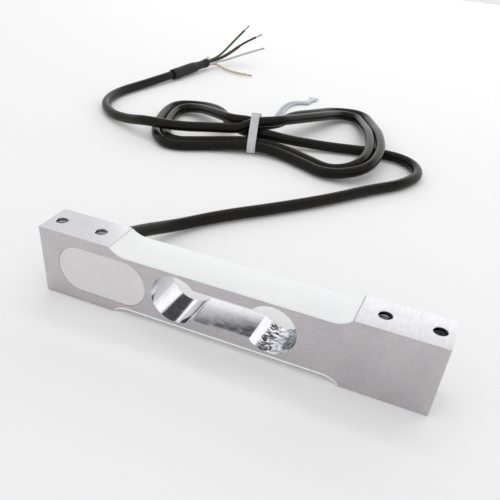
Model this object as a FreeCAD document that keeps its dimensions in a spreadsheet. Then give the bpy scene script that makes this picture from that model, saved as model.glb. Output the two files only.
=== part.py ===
import FreeCAD, Part
import Sketcher
import math
import os

# Single point load cell: a machined aluminium bending beam with a binocular window,
# foil strain gauges under silicone, a potted compensation board, and a four-core
# shielded cable that lies in a tied hank with its stripped cores fanned out.
# Millimetres. +X runs along the beam, the potted pocket faces -Y, the load comes down Z.
# The origin is the centre of the beam's underside.

V = FreeCAD.Vector
doc = FreeCAD.newDocument("LoadCell")

# ---------------------------------------------------------------- driving sizes
SIZES = (
    ("beam_length", 130.0),
    ("beam_width", 14.0),
    ("beam_height", 24.0),
    ("edge_break", 0.25),
    ("hole_margin", 4.0),
    ("hole_pitch", 15.0),
    ("tap_drill", 3.3),
    ("tap_sink", 4.4),
    ("relief_length", 78.0),
    ("relief_depth", 2.7),
    ("relief_cutter", 8.0),
    ("bore_spacing", 31.6),
    ("web_thick", 1.0),
    ("slot_height", 11.0),
    ("pocket_margin", 6.3),
    ("pocket_overlap", 12.6),
    ("pocket_height", 16.1),
    ("pocket_depth", 4.4),
    ("exit_margin", 11.5),
    ("lead_hole", 1.8),
    ("lead_hole_inset", 6.8),
    ("coat_thick", 0.95),
    ("coat_inset", 0.1),
    ("coat_bevel", 0.5),
    ("gauge_length", 9.4),
    ("gauge_width", 5.6),
    ("gauge_foil", 0.15),
    ("ribbon_width", 1.2),
    ("ribbon_thick", 0.4),
    ("ribbon_gap", 0.2),
    ("board_length", 14.0),
    ("board_height", 9.0),
    ("board_thick", 0.8),
    ("resistor_length", 3.2),
    ("resistor_width", 1.6),
    ("resistor_thick", 0.6),
    ("resistor_pitch", 2.6),
    ("cable_dia", 5.0),
    ("cable_fit", 0.4),
    ("cable_stub", 0.8),
    ("inner_core_dia", 1.1),
    ("core_dia", 1.4),
    ("strand_dia", 0.8),
    ("tip_length", 5.0),
    ("sleeve_wall", 0.55),
    ("sleeve_fit", 0.25),
    ("sleeve_neck", 8.5),
    ("sleeve_grip", 24),
    ("tie_width", 4.2),
    ("tie_thick", 1.15),
    ("tie_fit", 0.15),
    ("tie_tail_width", 3.6),
    ("tie_head", 5.2),
    ("seal_width", 1.9),
    ("seal_thick", 1.1),
)
sheet = doc.addObject("Spreadsheet::Sheet", "Dims")
for line, (alias, value) in enumerate(SIZES, 1):
    sheet.set("A%d" % line, alias)
    sheet.set("B%d" % line, repr(value))
    sheet.setAlias("B%d" % line, alias)
doc.recompute()
S = {alias: float(sheet.get(alias)) for alias, _ in SIZES}

nodes = []


def keep(obj, label):
    obj.Label = label
    nodes.append(obj)
    return obj


def named(text):
    """Writes an expression: every word that is a size gets its sheet in front."""
    out = ""
    word = ""
    for ch in text + " ":
        if ch.isalnum() or ch == "_":
            word += ch
            continue
        out += ("Dims." + word) if word in S else word
        out += ch
        word = ""
    return out.strip()


def bind(obj, **sizes):
    for prop, text in sizes.items():
        obj.setExpression(prop.replace("__", "."), named(text))
    return obj


def at(obj, x="0", y="0", z="0"):
    """Binds an object's place to the sheet."""
    return bind(obj, Placement__Base__x=x, Placement__Base__y=y, Placement__Base__z=z)


def number(text):
    return float(sheet.evalExpression(named(text)))


# ---------------------------------------------------------------- sketches
def plane(body, role):
    for feature in body.Origin.OriginFeatures:
        if feature.Role == role:
            return feature
    raise ValueError(role)


def sketch_on(body, role, name, lift=None):
    sk = body.newObject("Sketcher::SketchObject", name)
    sk.AttachmentSupport = [(plane(body, role), "")]
    sk.MapMode = "FlatFace"
    if lift:
        sk.setExpression("AttachmentOffset.Base.z", named(lift))
    return sk


def rule(sk, kind, *args):
    return sk.addConstraint(Sketcher.Constraint(kind, *args))


def driven(sk, kind, args, name, text):
    """A named sketch dimension that takes its value from the sheet."""
    index = rule(sk, kind, *args, number(text))
    sk.renameConstraint(index, name)
    sk.setExpression("Constraints." + name, named(text))


def box_sketch(sk, width, height):
    """A rectangle about the sketch's origin."""
    w = number(width) / 2
    d = number(height) / 2
    p = (V(-w, -d, 0), V(w, -d, 0), V(w, d, 0), V(-w, d, 0))
    for i in range(4):
        sk.addGeometry(Part.LineSegment(p[i], p[(i + 1) % 4]), False)
    for i in range(4):
        rule(sk, "Coincident", i, 2, (i + 1) % 4, 1)
    for i in (0, 2):
        rule(sk, "Horizontal", i)
    for i in (1, 3):
        rule(sk, "Vertical", i)
    rule(sk, "Symmetric", 0, 1, 2, 1, -1, 1)
    driven(sk, "DistanceX", (0, 1, 0, 2), "across", width)
    driven(sk, "DistanceY", (1, 1, 1, 2), "upright", height)


def circle_sketch(sk, places, dia):
    """Circles of one size; each place is a pair of texts, and "0" lies on the axis."""
    for i, (x, y) in enumerate(places):
        centre = V(number(x), number(y), 0)
        sk.addGeometry(Part.Circle(centre, V(0, 0, 1), number(dia) / 2), False)
        if i == 0:
            driven(sk, "Diameter", (0,), "dia", dia)
        else:
            rule(sk, "Equal", 0, i)
        if x == "0":
            rule(sk, "PointOnObject", i, 3, -2)
        else:
            driven(sk, "DistanceX", (-1, 1, i, 3), "x%d" % i, x)
        if y == "0":
            rule(sk, "PointOnObject", i, 3, -1)
        else:
            driven(sk, "DistanceY", (-1, 1, i, 3), "y%d" % i, y)


def stadium_sketch(sk, left, right, height):
    """A lying stadium between two arc centres on the X axis."""
    r = number(height) / 2
    a = number(left)
    b = number(right)
    up = math.pi / 2
    sk.addGeometry(Part.ArcOfCircle(Part.Circle(V(a, 0, 0), V(0, 0, 1), r), up, 3 * up), False)
    sk.addGeometry(Part.LineSegment(V(a, -r, 0), V(b, -r, 0)), False)
    sk.addGeometry(Part.ArcOfCircle(Part.Circle(V(b, 0, 0), V(0, 0, 1), r), -up, up), False)
    sk.addGeometry(Part.LineSegment(V(b, r, 0), V(a, r, 0)), False)
    for first, second in ((0, 1), (1, 2), (2, 3), (3, 0)):
        rule(sk, "Tangent", first, 2, second, 1)
    rule(sk, "Equal", 0, 2)
    rule(sk, "PointOnObject", 0, 3, -1)
    rule(sk, "PointOnObject", 2, 3, -1)
    driven(sk, "DistanceX", (-1, 1, 0, 3), "left", left)
    driven(sk, "DistanceX", (-1, 1, 2, 3), "right", right)
    driven(sk, "Diameter", (0,), "upright", height)


def relief_sketch(sk, side, length, depth, cutter):
    """The milled relief: a flat floor with the cutter's arc at each end, side +1 or -1."""
    sign = "" if side > 0 else "-"
    half = number(length) / 2
    top = number("beam_height") / 2
    floor = top - number(depth)
    r = number(cutter)
    run = half - math.sqrt(r * r - (r - number(depth)) ** 2)
    ring = [Part.Circle(V(x, side * (floor + r), 0), V(0, 0, 1), r) for x in (-run, run)]
    open_at = math.atan2(-(r - number(depth)), -(half - run))
    if side > 0:
        first = Part.ArcOfCircle(ring[0], open_at, -math.pi / 2)
        last = Part.ArcOfCircle(ring[1], -math.pi / 2, -math.pi - open_at)
        a_out, a_in, b_in, b_out = 1, 2, 1, 2
    else:
        first = Part.ArcOfCircle(ring[0], math.pi / 2, -open_at)
        last = Part.ArcOfCircle(ring[1], math.pi + open_at, math.pi / 2)
        a_out, a_in, b_in, b_out = 2, 1, 2, 1
    sk.addGeometry(first, False)
    sk.addGeometry(Part.LineSegment(V(-run, side * floor, 0), V(run, side * floor, 0)), False)
    sk.addGeometry(last, False)
    sk.addGeometry(Part.LineSegment(V(half, side * top, 0), V(-half, side * top, 0)), False)
    rule(sk, "Tangent", 0, a_in, 1, 1)
    rule(sk, "Tangent", 1, 2, 2, b_in)
    rule(sk, "Coincident", 2, b_out, 3, 1)
    rule(sk, "Coincident", 3, 2, 0, a_out)
    rule(sk, "Symmetric", 1, 1, 1, 2, -2)
    rule(sk, "Symmetric", 3, 1, 3, 2, -2)
    driven(sk, "Radius", (0,), "cutter", cutter)
    driven(sk, "DistanceX", (3, 2, 3, 1), "length", length)
    driven(sk, "DistanceY", (-1, 1, 1, 1), "floor", sign + "(beam_height / 2 - (" + depth + "))")
    driven(sk, "DistanceY", (-1, 1, 3, 1), "top", sign + "beam_height / 2")


def pad(body, sk, length, midplane=True):
    f = body.newObject("PartDesign::Pad", sk.Name + "Pad")
    f.Profile = sk
    f.Type = 0
    f.SideType = 2 if midplane else 0
    bind(f, Length=length)
    sk.Visibility = False
    doc.recompute()
    return f


def pocket(body, sk, depth=None, flip=False):
    """A pocket to a depth, or right through both ways when no depth is given."""
    before = body.Tip.Shape.Volume
    f = body.newObject("PartDesign::Pocket", sk.Name + "Cut")
    f.Profile = sk
    if depth is None:
        f.SideType = 2
        f.Type = 1
    else:
        f.SideType = 0
        f.Type = 0
        bind(f, Length=depth)
    f.Reversed = flip
    doc.recompute()
    if f.Shape.Volume > before - 0.01:
        raise ValueError("nothing was cut by " + f.Name)
    return f


def mirrored(body, source, role, name):
    f = body.newObject("PartDesign::Mirrored", name)
    f.Originals = [source]
    f.MirrorPlane = (plane(body, role), [""])
    body.Tip = f
    doc.recompute()
    return f


def dress(body, kind, name, size, wanted):
    """A chamfer or fillet on the tip's edges that the test picks out."""
    base = body.Tip
    picked = ["Edge%d" % (i + 1) for i, e in enumerate(base.Shape.Edges) if wanted(e)]
    if not picked:
        raise ValueError("no edges for " + name)
    f = body.newObject("PartDesign::" + kind, name)
    f.Base = (base, picked)
    bind(f, **{("Size" if kind == "Chamfer" else "Radius"): size})
    doc.recompute()
    return f


def near(a, b):
    return abs(a - b) < 1e-4


# ---------------------------------------------------------------- beam
HALF_L = number("beam_length / 2")
HALF_H = number("beam_height / 2")
HALF_W = number("beam_width / 2")

beam = keep(doc.addObject("PartDesign::Body", "Beam"), "beam_body")
at(beam, z="beam_height / 2")
bar = sketch_on(beam, "XZ_Plane", "BarProfile")
box_sketch(bar, "beam_length", "beam_height")
pad(beam, bar, "beam_width")


def long_or_end_edge(e):
    """The outer edges of the bar: every edge that lies on two of its outer faces."""
    on = 0
    p = [v.Point for v in e.Vertexes]
    on += all(near(abs(q.x), HALF_L) for q in p)
    on += all(near(abs(q.y), HALF_W) for q in p)
    on += all(near(abs(q.z), HALF_H) for q in p)
    return on >= 2


dress(beam, "Chamfer", "EdgeBreak", "edge_break", long_or_end_edge)

relief = sketch_on(beam, "XZ_Plane", "Relief")
relief_sketch(relief, 1, "relief_length", "relief_depth", "relief_cutter")
relief_cut = pocket(beam, relief)
mirrored(beam, relief_cut, "XY_Plane", "ReliefBelow")

# Each bore leaves a thin web under the floor of the relief above and below it.
BORE_DIA = "beam_height - 2 * relief_depth - 2 * web_thick"
bores = sketch_on(beam, "XZ_Plane", "Bores")
circle_sketch(bores, (("-bore_spacing / 2", "0"), ("bore_spacing / 2", "0")), BORE_DIA)
pocket(beam, bores)
slot = sketch_on(beam, "XZ_Plane", "Slot")
box_sketch(slot, "bore_spacing", "slot_height")
pocket(beam, slot)

POCKET_LEFT = "-beam_length / 2 + pocket_margin + pocket_height / 2"
POCKET_RIGHT = "-relief_length / 2 + pocket_overlap - pocket_height / 2"
recess = sketch_on(beam, "XZ_Plane", "SidePocket", "beam_width / 2")
stadium_sketch(recess, POCKET_LEFT, POCKET_RIGHT, "pocket_height")
pocket(beam, recess, "pocket_depth")

EXIT_X = "-beam_length / 2 + exit_margin"
exit_hole = sketch_on(beam, "XZ_Plane", "CableHole", "-beam_width / 2")
circle_sketch(exit_hole, ((EXIT_X, "0"),), "cable_dia + cable_fit")
pocket(beam, exit_hole, "beam_width - pocket_depth", flip=True)

# The gauge leads run down the back of the trim board, so they set the lead holes' line.
LEAD_X = "-relief_length / 2 + lead_hole_inset"
LEAD_SIDE = "(beam_width / 2 - pocket_depth + board_thick + ribbon_thick / 2)"
LEAD_Y = "-" + LEAD_SIDE
GAUGE_SIDE = "(" + LEAD_SIDE + " - ribbon_width / 2 - ribbon_gap)"
lead_holes = sketch_on(beam, "XY_Plane", "LeadHoles")
circle_sketch(lead_holes, ((LEAD_X, LEAD_Y),), "lead_hole")
pocket(beam, lead_holes)

taps = sketch_on(beam, "XY_Plane", "MountHoles")
NEAR_HOLE = "-beam_length / 2 + hole_margin"
circle_sketch(taps, ((NEAR_HOLE, "0"), (NEAR_HOLE + " + hole_pitch", "0")), "tap_drill")
tap_cut = pocket(beam, taps)
mirrored(beam, tap_cut, "YZ_Plane", "MountHolesLoadEnd")


def tap_rim(e):
    if e.Curve.TypeId != "Part::GeomCircle":
        return False
    return near(e.Curve.Radius, S["tap_drill"] / 2) and near(abs(e.Curve.Center.z), HALF_H)


dress(beam, "Chamfer", "HoleLeadIns", "(tap_sink - tap_drill) / 2", tap_rim)


# ---------------------------------------------------------------- silicone over the gauges
ABOVE = "(relief_cutter - relief_depth)"
RUN_OUT = "sqrt(relief_cutter ^ 2 - " + ABOVE + " ^ 2)"
RUN_IN = "sqrt((relief_cutter - coat_thick) ^ 2 - " + ABOVE + " ^ 2)"
COAT_TOP = "relief_length - 2 * (" + RUN_OUT + " - " + RUN_IN + ")"


def coat(name, side):
    """The silicone layer on one relief: the relief's own shape less a smaller cutter's."""
    body = doc.addObject("PartDesign::Body", name)
    at(body, z="beam_height / 2")
    full = sketch_on(body, "XZ_Plane", name + "Under")
    relief_sketch(full, side, "relief_length", "relief_depth", "relief_cutter")
    pad(body, full, "beam_width - 2 * coat_inset")
    inner = sketch_on(body, "XZ_Plane", name + "Over")
    relief_sketch(inner, side, COAT_TOP, "relief_depth - coat_thick", "relief_cutter - coat_thick")
    pocket(body, inner)
    z = HALF_H - S["relief_depth"] + S["coat_thick"]
    rim = HALF_W - S["coat_inset"]

    def rim_edge(e):
        p = [v.Point for v in e.Vertexes]
        flat = all(near(abs(q.y), rim) for q in p)
        c = e.CenterOfMass
        return flat and near(abs(c.z), z) and near(c.x, 0)

    dress(body, "Chamfer", name + "Edge", "coat_bevel", rim_edge)
    return body


# ---------------------------------------------------------------- gauges and their ribbon leads
def block(name, size, place):
    b = doc.addObject("Part::Box", name)
    bind(b, Length=size[0], Width=size[1], Height=size[2])
    return at(b, *place)


def joined(name, kind, first, second):
    f = doc.addObject(kind, name)
    if kind == "Part::MultiFuse":
        f.Shapes = [first] + second
    else:
        f.Base = first
        f.Tool = second
    return f


FLOOR = {1: "beam_height - relief_depth", -1: "relief_depth"}
gauges = {1: [], -1: []}
ribbons = {}
for side, word in ((1, "top"), (-1, "bottom")):
    for end, sign in (("fixed", "-"), ("load", "")):
        low = FLOOR[side] if side > 0 else FLOOR[side] + " - gauge_foil"
        g = block(
            "Gauge" + word.capitalize() + end.capitalize(),
            ("gauge_length", "gauge_width", "gauge_foil"),
            (sign + "bore_spacing / 2 - gauge_length / 2", "-" + GAUGE_SIDE, low),
        )
        gauges[side].append(keep(g, "strain_gauge_%s_%s" % (word, end)))
    back = "-beam_width / 2 + pocket_depth - board_thick - ribbon_thick"
    low = FLOOR[side] if side > 0 else FLOOR[side] + " - ribbon_thick"
    strip = block(
        "Strip" + word,
        ("bore_spacing / 2 - (" + LEAD_X + ") + ribbon_width", "ribbon_width", "ribbon_thick"),
        (LEAD_X + " - ribbon_width / 2", LEAD_Y + " - ribbon_width / 2", low),
    )
    tabs = []
    for sign in ("-", ""):
        tabs.append(
            block(
                "Tab" + word,
                ("ribbon_width", LEAD_SIDE + " - " + GAUGE_SIDE, "ribbon_thick"),
                (sign + "bore_spacing / 2 - ribbon_width / 2", LEAD_Y, low),
            )
        )
    board_edge = "beam_height / 2 + board_height / 2 - 1"
    drop_low = board_edge if side > 0 else "relief_depth - ribbon_thick"
    drop_rise = "beam_height / 2 - relief_depth - board_height / 2 + 1 + ribbon_thick"
    drop = block(
        "Drop" + word,
        ("ribbon_width", "ribbon_thick", drop_rise),
        (LEAD_X + " - ribbon_width / 2", back, drop_low),
    )
    whole = joined("Ribbon" + word.capitalize(), "Part::MultiFuse", strip, tabs + [drop])
    ribbons[side] = keep(whole, "gauge_leads_" + word)

for side, word in ((1, "top"), (-1, "bottom")):
    layer = coat("Coat" + word.capitalize(), side)
    under = joined("Under" + word, "Part::MultiFuse", gauges[side][0], [gauges[side][1], ribbons[side]])
    skin = joined("Skin" + word.capitalize(), "Part::Cut", layer, under)
    keep(skin, word + "_sealant")


# ---------------------------------------------------------------- board in the potted pocket
BOARD_RIGHT = LEAD_X + " + ribbon_width + 0.9"
BOARD_LEFT = BOARD_RIGHT + " - board_length"
BOARD_FRONT = "-beam_width / 2 + pocket_depth - board_thick"
board = block(
    "TrimBoard",
    ("board_length", "board_thick", "board_height"),
    (BOARD_LEFT, BOARD_FRONT, "beam_height / 2 - board_height / 2"),
)
keep(board, "trim_board")
resistors = []
for i in (-1, 0, 1):
    r = block(
        "Resistor%d" % (i + 2),
        ("resistor_length", "resistor_thick", "resistor_width"),
        (
            BOARD_LEFT + " + board_length * 0.5 - resistor_length / 2",
            BOARD_FRONT + " - resistor_thick",
            "beam_height / 2 - resistor_width / 2 + resistor_pitch * %d" % i,
        ),
    )
    resistors.append(keep(r, "trim_resistor_%d" % (i + 2)))


# ---------------------------------------------------------------- round tubes along a route
def route_wire(points, label=None, least=0.0):
    """Straight runs joined by tangent arcs, each as large as its two runs allow."""
    runs = [(b - a).Length for a, b in zip(points, points[1:])]
    edges = []
    radii = []
    last = points[0]
    for i in range(1, len(points) - 1):
        into = (points[i] - points[i - 1]).normalize()
        out = (points[i + 1] - points[i]).normalize()
        turn = into.getAngle(out)
        back = 0.45 * min(runs[i - 1], runs[i])
        radius = back / math.tan(turn / 2)
        radii.append(radius)
        start = points[i] - into * back
        stop = points[i] + out * back
        inward = (out - into).normalize()
        mid = points[i] + inward * (radius / math.cos(turn / 2) - radius)
        edges.append(Part.LineSegment(last, start).toShape())
        edges.append(Part.Arc(start, mid, stop).toShape())
        last = stop
    edges.append(Part.LineSegment(last, points[-1]).toShape())
    if label:
        print(label, "radii", [round(r, 1) for r in radii], "least", round(min(radii), 1))
    return edges


def polygon_ring(centre, ahead, dia, sides):
    """A many-sided ring inside the circle of a diameter, one flat facing down."""
    side = V(-ahead.y, ahead.x, 0)
    side = side.normalize() if side.Length > 1e-6 else V(1, 0, 0)
    up = ahead.cross(side)
    corners = []
    for i in range(sides):
        a = 2 * math.pi * (i + 0.5) / sides
        corners.append(centre + side * (dia / 2 * math.sin(a)) + up * (dia / 2 * math.cos(a)))
    return Part.makePolygon(corners + corners[:1])


def swept(edges, ring):
    """The solid that a ring leaves when it is carried along runs and arcs, unturned."""
    faces = [Part.Face(ring)]
    for edge in edges:
        if isinstance(edge.Curve, Part.Circle):
            turn = math.degrees(edge.LastParameter - edge.FirstParameter)
            centre, axis = edge.Curve.Center, edge.Curve.Axis
            faces += ring.revolve(centre, axis, turn).Faces
            ring = ring.copy()
            ring.rotate(centre, axis, turn)
        else:
            step = edge.Vertexes[-1].Point - edge.Vertexes[0].Point
            faces += ring.extrude(step).Faces
            ring = ring.copy()
            ring.translate(step)
    faces.append(Part.Face(ring))
    shell = Part.makeShell(faces)
    shell.sewShape()
    solid = Part.makeSolid(shell)
    if solid.Volume < 0:
        solid.reverse()
    return solid


def tube(points, dia, label=None, sides=10):
    """A cord's tube, its round section cut to a few flats, with its volume checked."""
    edges = route_wire(points, label)
    ring = polygon_ring(points[0], edges[0].tangentAt(edges[0].FirstParameter), dia, sides)
    solid = swept(edges, ring)
    length = sum(e.Length for e in edges)
    ideal = Part.Face(ring).Area * length
    if label:
        print(label, "length", round(length, 1), "volume", round(solid.Volume, 1),
              "section x length", round(ideal, 1))
    if abs(solid.Volume - ideal) > 0.01 * ideal:
        raise ValueError("a tube's volume is off: %.1f against %.1f" % (solid.Volume, ideal))
    return solid


def shaped(name, shape, label):
    f = doc.addObject("Part::Feature", name)
    f.Shape = shape
    return keep(f, label) if label else f


# ---------------------------------------------------------------- cable: exit and lead-in
R_CABLE = S["cable_dia"] / 2
EXIT = V(number(EXIT_X), HALF_W, 0)
POCKET_FLOOR = -HALF_W + S["pocket_depth"]


def lay(x, y, rise=0.1):
    """A point of the cable's centre line: its foot from the exit's foot, and its underside's rise."""
    return V(EXIT.x + x, EXIT.y + y, rise + R_CABLE)


# The hank's tied waist: its own axes and the five strands' seats, in cable diameters.
WAIST = V(1.3, 135.7, 0)
ALONG = V(0.954, 0.300, 0).normalize()
ACROSS = V(-ALONG.y, ALONG.x, 0)
SEATS = ((0, 0), (1.03, 0), (1.76, 0.92), (2.64, 0.42), (2.98, 1.44))
UNDER_TIE = S["tie_thick"] + S["tie_fit"] + 0.2
seats = [(a * S["cable_dia"], UNDER_TIE + R_CABLE + b * S["cable_dia"]) for a, b in SEATS]
WAIST_LEFT = -6.0
WAIST_RIGHT = 7.5


def waist(u, v, z):
    """A point from the waist's own axes: along, across, and up from the surface."""
    return V(EXIT.x, EXIT.y, 0) + WAIST + ALONG * u + ACROSS * v + V(0, 0, z)


lead_route = [
    V(EXIT.x, POCKET_FLOOR - S["cable_stub"], HALF_H),
    V(EXIT.x, EXIT.y + 7.5, HALF_H),
    lay(1.9, 25.0, 5.2),
    lay(7.5, 43.5, 0.4),
    lay(19.0, 60.5),
    lay(36.0, 78.5),
    lay(53.5, 99.0),
    lay(67.2, 118.8),
    lay(79.5, 133.0),
    lay(85.5, 150.0),
    lay(76.0, 165.0),
    lay(57.0, 166.0),
    lay(36.5, 160.0),
    lay(18.5, 154.2, 1.4),
    waist(WAIST_RIGHT + 1.0, seats[2][0] - 0.2, seats[2][1] - 0.2),
]
lead = shaped("CableLeadIn", tube(lead_route, S["cable_dia"], "cable_lead_in"), "cable_lead_in")

# ---------------------------------------------------------------- cable: the tied hank


def belt(grow):
    """The outline of a taut belt round the waist's strands, drawn in the waist's own plane."""
    order = (0, 1, 3, 4)
    r = R_CABLE + grow
    out = []
    joints = []
    for i, a in enumerate(order):
        b = order[(i + 1) % len(order)]
        d = V(seats[b][0] - seats[a][0], seats[b][1] - seats[a][1], 0).normalize()
        n = V(d.y, -d.x, 0) * r
        joints.append((V(seats[a][0], seats[a][1], 0) + n, V(seats[b][0], seats[b][1], 0) + n))
    for i, (start, stop) in enumerate(joints):
        nxt = joints[(i + 1) % len(joints)][0]
        c = seats[order[(i + 1) % len(order)]]
        centre = V(c[0], c[1], 0)
        mid = ((stop - centre) + (nxt - centre)).normalize() * r + centre
        out.append(Part.LineSegment(waist(0, start.x, start.y), waist(0, stop.x, stop.y)).toShape())
        out.append(
            Part.Arc(
                waist(0, stop.x, stop.y), waist(0, mid.x, mid.y), waist(0, nxt.x, nxt.y)
            ).toShape()
        )
    return Part.Face(Part.Wire(out))


def belt_solid(grow, left, right):
    face = belt(grow)
    face.translate(ALONG * left)
    return face.extrude(ALONG * (right - left))


STACK = math.atan2(seats[4][1] - seats[3][1], seats[4][0] - seats[3][0])
UNROLL = 26.0                         # the stacked pair lies down flat over this length
BAND_STEP = math.radians(30)


def stations(edges):
    """Points and headings along a route: both ends of each run, and steps round each arc."""
    out = []
    gone = 0.0
    for edge in edges:
        count = 1
        if isinstance(edge.Curve, Part.Circle):
            count = max(1, math.ceil((edge.LastParameter - edge.FirstParameter) / BAND_STEP))
        for i in range(count):
            t = edge.FirstParameter + (edge.LastParameter - edge.FirstParameter) * i / count
            out.append((edge.valueAt(t), edge.tangentAt(t), gone + edge.Length * i / count))
        gone += edge.Length
    out.append((edges[-1].valueAt(edges[-1].LastParameter),
                edges[-1].tangentAt(edges[-1].LastParameter), gone))
    return out


def flat(corners):
    return Part.Face(Part.makePolygon(list(corners) + [corners[0]]))


def band(points, label, stacked_at_start):
    """The flat band that two strands side by side fill, rolled on edge where it meets the tie."""
    places = stations(route_wire(points, label))
    whole = places[-1][2]
    apart = S["cable_dia"] * 0.515
    r = R_CABLE + 0.05
    sections = []
    for place, ahead, gone in places:
        away = gone if stacked_at_start else whole - gone
        roll = STACK * max(0.0, 1 - away / UNROLL)
        side = V(-ahead.y, ahead.x, 0).normalize()
        up = ahead.cross(side)
        wide = side * math.cos(roll) + up * math.sin(roll)
        tall = ahead.cross(wide)
        corners = []
        for end, angles in ((1, (-90, 0, 90)), (-1, (90, 0, -90))):
            for degrees in angles:
                a = math.radians(degrees)
                corners.append(place + wide * (end * (apart + r * math.cos(a)))
                               + tall * (r * math.sin(a)))
        sections.append(corners)
    faces = [flat(sections[0]), flat(sections[-1])]
    for ring, further in zip(sections, sections[1:]):
        for i, a in enumerate(ring):
            b, c, d = ring[i - 1], further[i - 1], further[i]
            faces += [flat((a, b, c)), flat((a, c, d))]
    shell = Part.makeShell(faces)
    shell.sewShape()
    solid = Part.makeSolid(shell)
    if solid.Volume < 0:
        solid.reverse()
    return solid


lower = (seats[0][0] + seats[1][0]) / 2
upper = (seats[3][0] + seats[4][0]) / 2
upper_z = (seats[3][1] + seats[4][1]) / 2
left_route = [
    waist(WAIST_LEFT + 0.8, lower, seats[0][1]),
    waist(WAIST_LEFT - 7.5, lower - 0.6, seats[0][1] - 0.6),
    lay(-22.5, 128.5, 0.2),
    lay(-36.5, 119.5),
    lay(-50.5, 129.0),
    lay(-58.5, 150.0),
    lay(-61.5, 171.0, 0.2),
    lay(-45.5, 172.5, 2.4),
    lay(-29.0, 159.5, 6.4),
    waist(WAIST_LEFT - 9.5, upper + 3.6, upper_z + 1.2),
    waist(WAIST_LEFT + 0.8, upper, upper_z),
]
right_route = [
    waist(WAIST_RIGHT - 0.8, upper, upper_z),
    waist(WAIST_RIGHT + 4.5, upper + 3.4, upper_z + 1.4),
    lay(11.5, 172.0, 7.4),
    lay(18.5, 190.0, 4.9),
    lay(24.0, 210.0, 1.6),
    lay(37.0, 216.0, 0.5),
    lay(46.5, 197.0, 1.9),
    lay(54.5, 176.0, 5.4),
    lay(61.0, 153.0, 5.5),
    lay(60.0, 132.0, 4.1),
    lay(45.5, 126.5, 0.5),
    lay(30.0, 134.5),
    lay(17.5, 139.0, 0.6),
    waist(WAIST_RIGHT - 0.8, lower, seats[0][1]),
]
core_block = belt_solid(0, WAIST_LEFT, WAIST_RIGHT)
left_lobe = band(left_route, "hank_left", stacked_at_start=False)
right_lobe = band(right_route, "hank_right", stacked_at_start=True)
hank_shape = core_block.fuse([left_lobe, right_lobe])
hank_shape = hank_shape.removeSplitter()
print("hank", hank_shape.isValid(), len(hank_shape.Solids), round(hank_shape.Volume))
hank = shaped("CableHank", hank_shape.Solids[0], "cable_hank")

# ---------------------------------------------------------------- cable: tail, sleeve, cores
SLEEVE_RISE = S["sleeve_wall"] + S["sleeve_fit"] + 0.1
tail_route = [
    waist(WAIST_LEFT - 0.3, seats[2][0] - 0.2, seats[2][1] - 0.2),
    lay(-20.4, 136.4, 6.4),
    lay(-37.0, 128.5, 5.9),
    lay(-56.0, 127.0, 5.9),
    lay(-70.5, 133.0, 1.9),
    lay(-85.5, 139.5),
    lay(-99.0, 153.0),
    lay(-103.5, 173.0),
    lay(-98.6, 195.5),
    lay(-92.2, 221.5, SLEEVE_RISE),
    lay(-87.7, 246.2, SLEEVE_RISE + 0.4),
]
tail = shaped("CableTail", tube(tail_route, S["cable_dia"], "cable_tail"), "cable_tail")
END = tail_route[-1]
AXIS = (tail_route[-1] - tail_route[-2]).normalize()
SIDE = AXIS.cross(V(0, 0, 1)).normalize()
OVER = SIDE.cross(AXIS)

bore_r = R_CABLE + S["sleeve_fit"]
skin_r = bore_r + S["sleeve_wall"]
CORE_RING = S["core_dia"] * 0.9
neck_r = CORE_RING + S["core_dia"] / 2 + 0.12
NECK_MID = 2.5


def sleeve_form(stations):
    """A many-sided solid along the sleeve's axis from (along, radius) stations."""
    rings = [polygon_ring(END + AXIS * along, AXIS, 2 * radius, 12) for along, radius in stations]
    return Part.makeLoft(rings, True, True)


FLAT = math.cos(math.pi / 12)         # a flat's distance from the middle, per corner radius
outside = sleeve_form((
    (-S["sleeve_grip"], skin_r), (0, skin_r), (NECK_MID, neck_r + S["sleeve_wall"]),
    (S["sleeve_neck"], neck_r + S["sleeve_wall"]),
))
inside_form = sleeve_form((
    (-S["sleeve_grip"], bore_r / FLAT), (0, bore_r / FLAT), (NECK_MID, neck_r / FLAT),
    (S["sleeve_neck"], neck_r / FLAT),
))
sleeve_shape = outside.cut(inside_form)
sleeve = shaped("EndSleeve", sleeve_shape.Solids[0], "end_sleeve")

# Each fanned core: its seat on the ring round the sleeve's axis, in degrees from the
# right, and its free points from the exit's foot with their heights.
FAN = (
    ("green", 126, ((-78.6, 271.8, 9.0), (-74.0, 280.4, 16.0), (-69.8, 288.2, 22.0))),
    ("black", 54, ((-76.1, 274.1, 8.0), (-71.1, 288.4, 13.2), (-63.1, 294.3, 17.5))),
    ("red", 198, ((-80.1, 275.0, 4.9), (-76.4, 283.2, 7.6), (-74.1, 291.1, 10.2))),
    ("white", 342, ((-76.1, 273.0, 4.6), (-66.9, 281.3, 8.2), (-57.6, 286.0, 11.5))),
    ("shield", 270, ((-76.4, 266.0, 1.2), (-66.1, 260.9, 0.95), (-55.6, 260.9, 0.95))),
)
# The cores lie together past the sleeve before they fan out.
BUNDLE = V(EXIT.x - 81.8, EXIT.y + 267.3, 4.35)
cores = []
tips = []
for colour, degrees, free in FAN:
    a = math.radians(degrees)
    seat = SIDE * (CORE_RING * math.cos(a)) + OVER * (CORE_RING * math.sin(a))
    points = [END + seat, END + AXIS * (S["sleeve_neck"] + 1.9) + seat, BUNDLE + seat * 1.2]
    points += [V(EXIT.x + x, EXIT.y + y, z) for x, y, z in free]
    core = tube(points, S["core_dia"], "core_" + colour, 6)
    cores.append(shaped("Core" + colour.capitalize(), core, "core_" + colour))
    ahead = (points[-1] - points[-2]).normalize()
    rod = Part.makeCylinder(S["strand_dia"] / 2, S["tip_length"], points[-1], ahead)
    tips.append(shaped("Tip" + colour.capitalize(), rod, "tip_" + colour))

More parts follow.
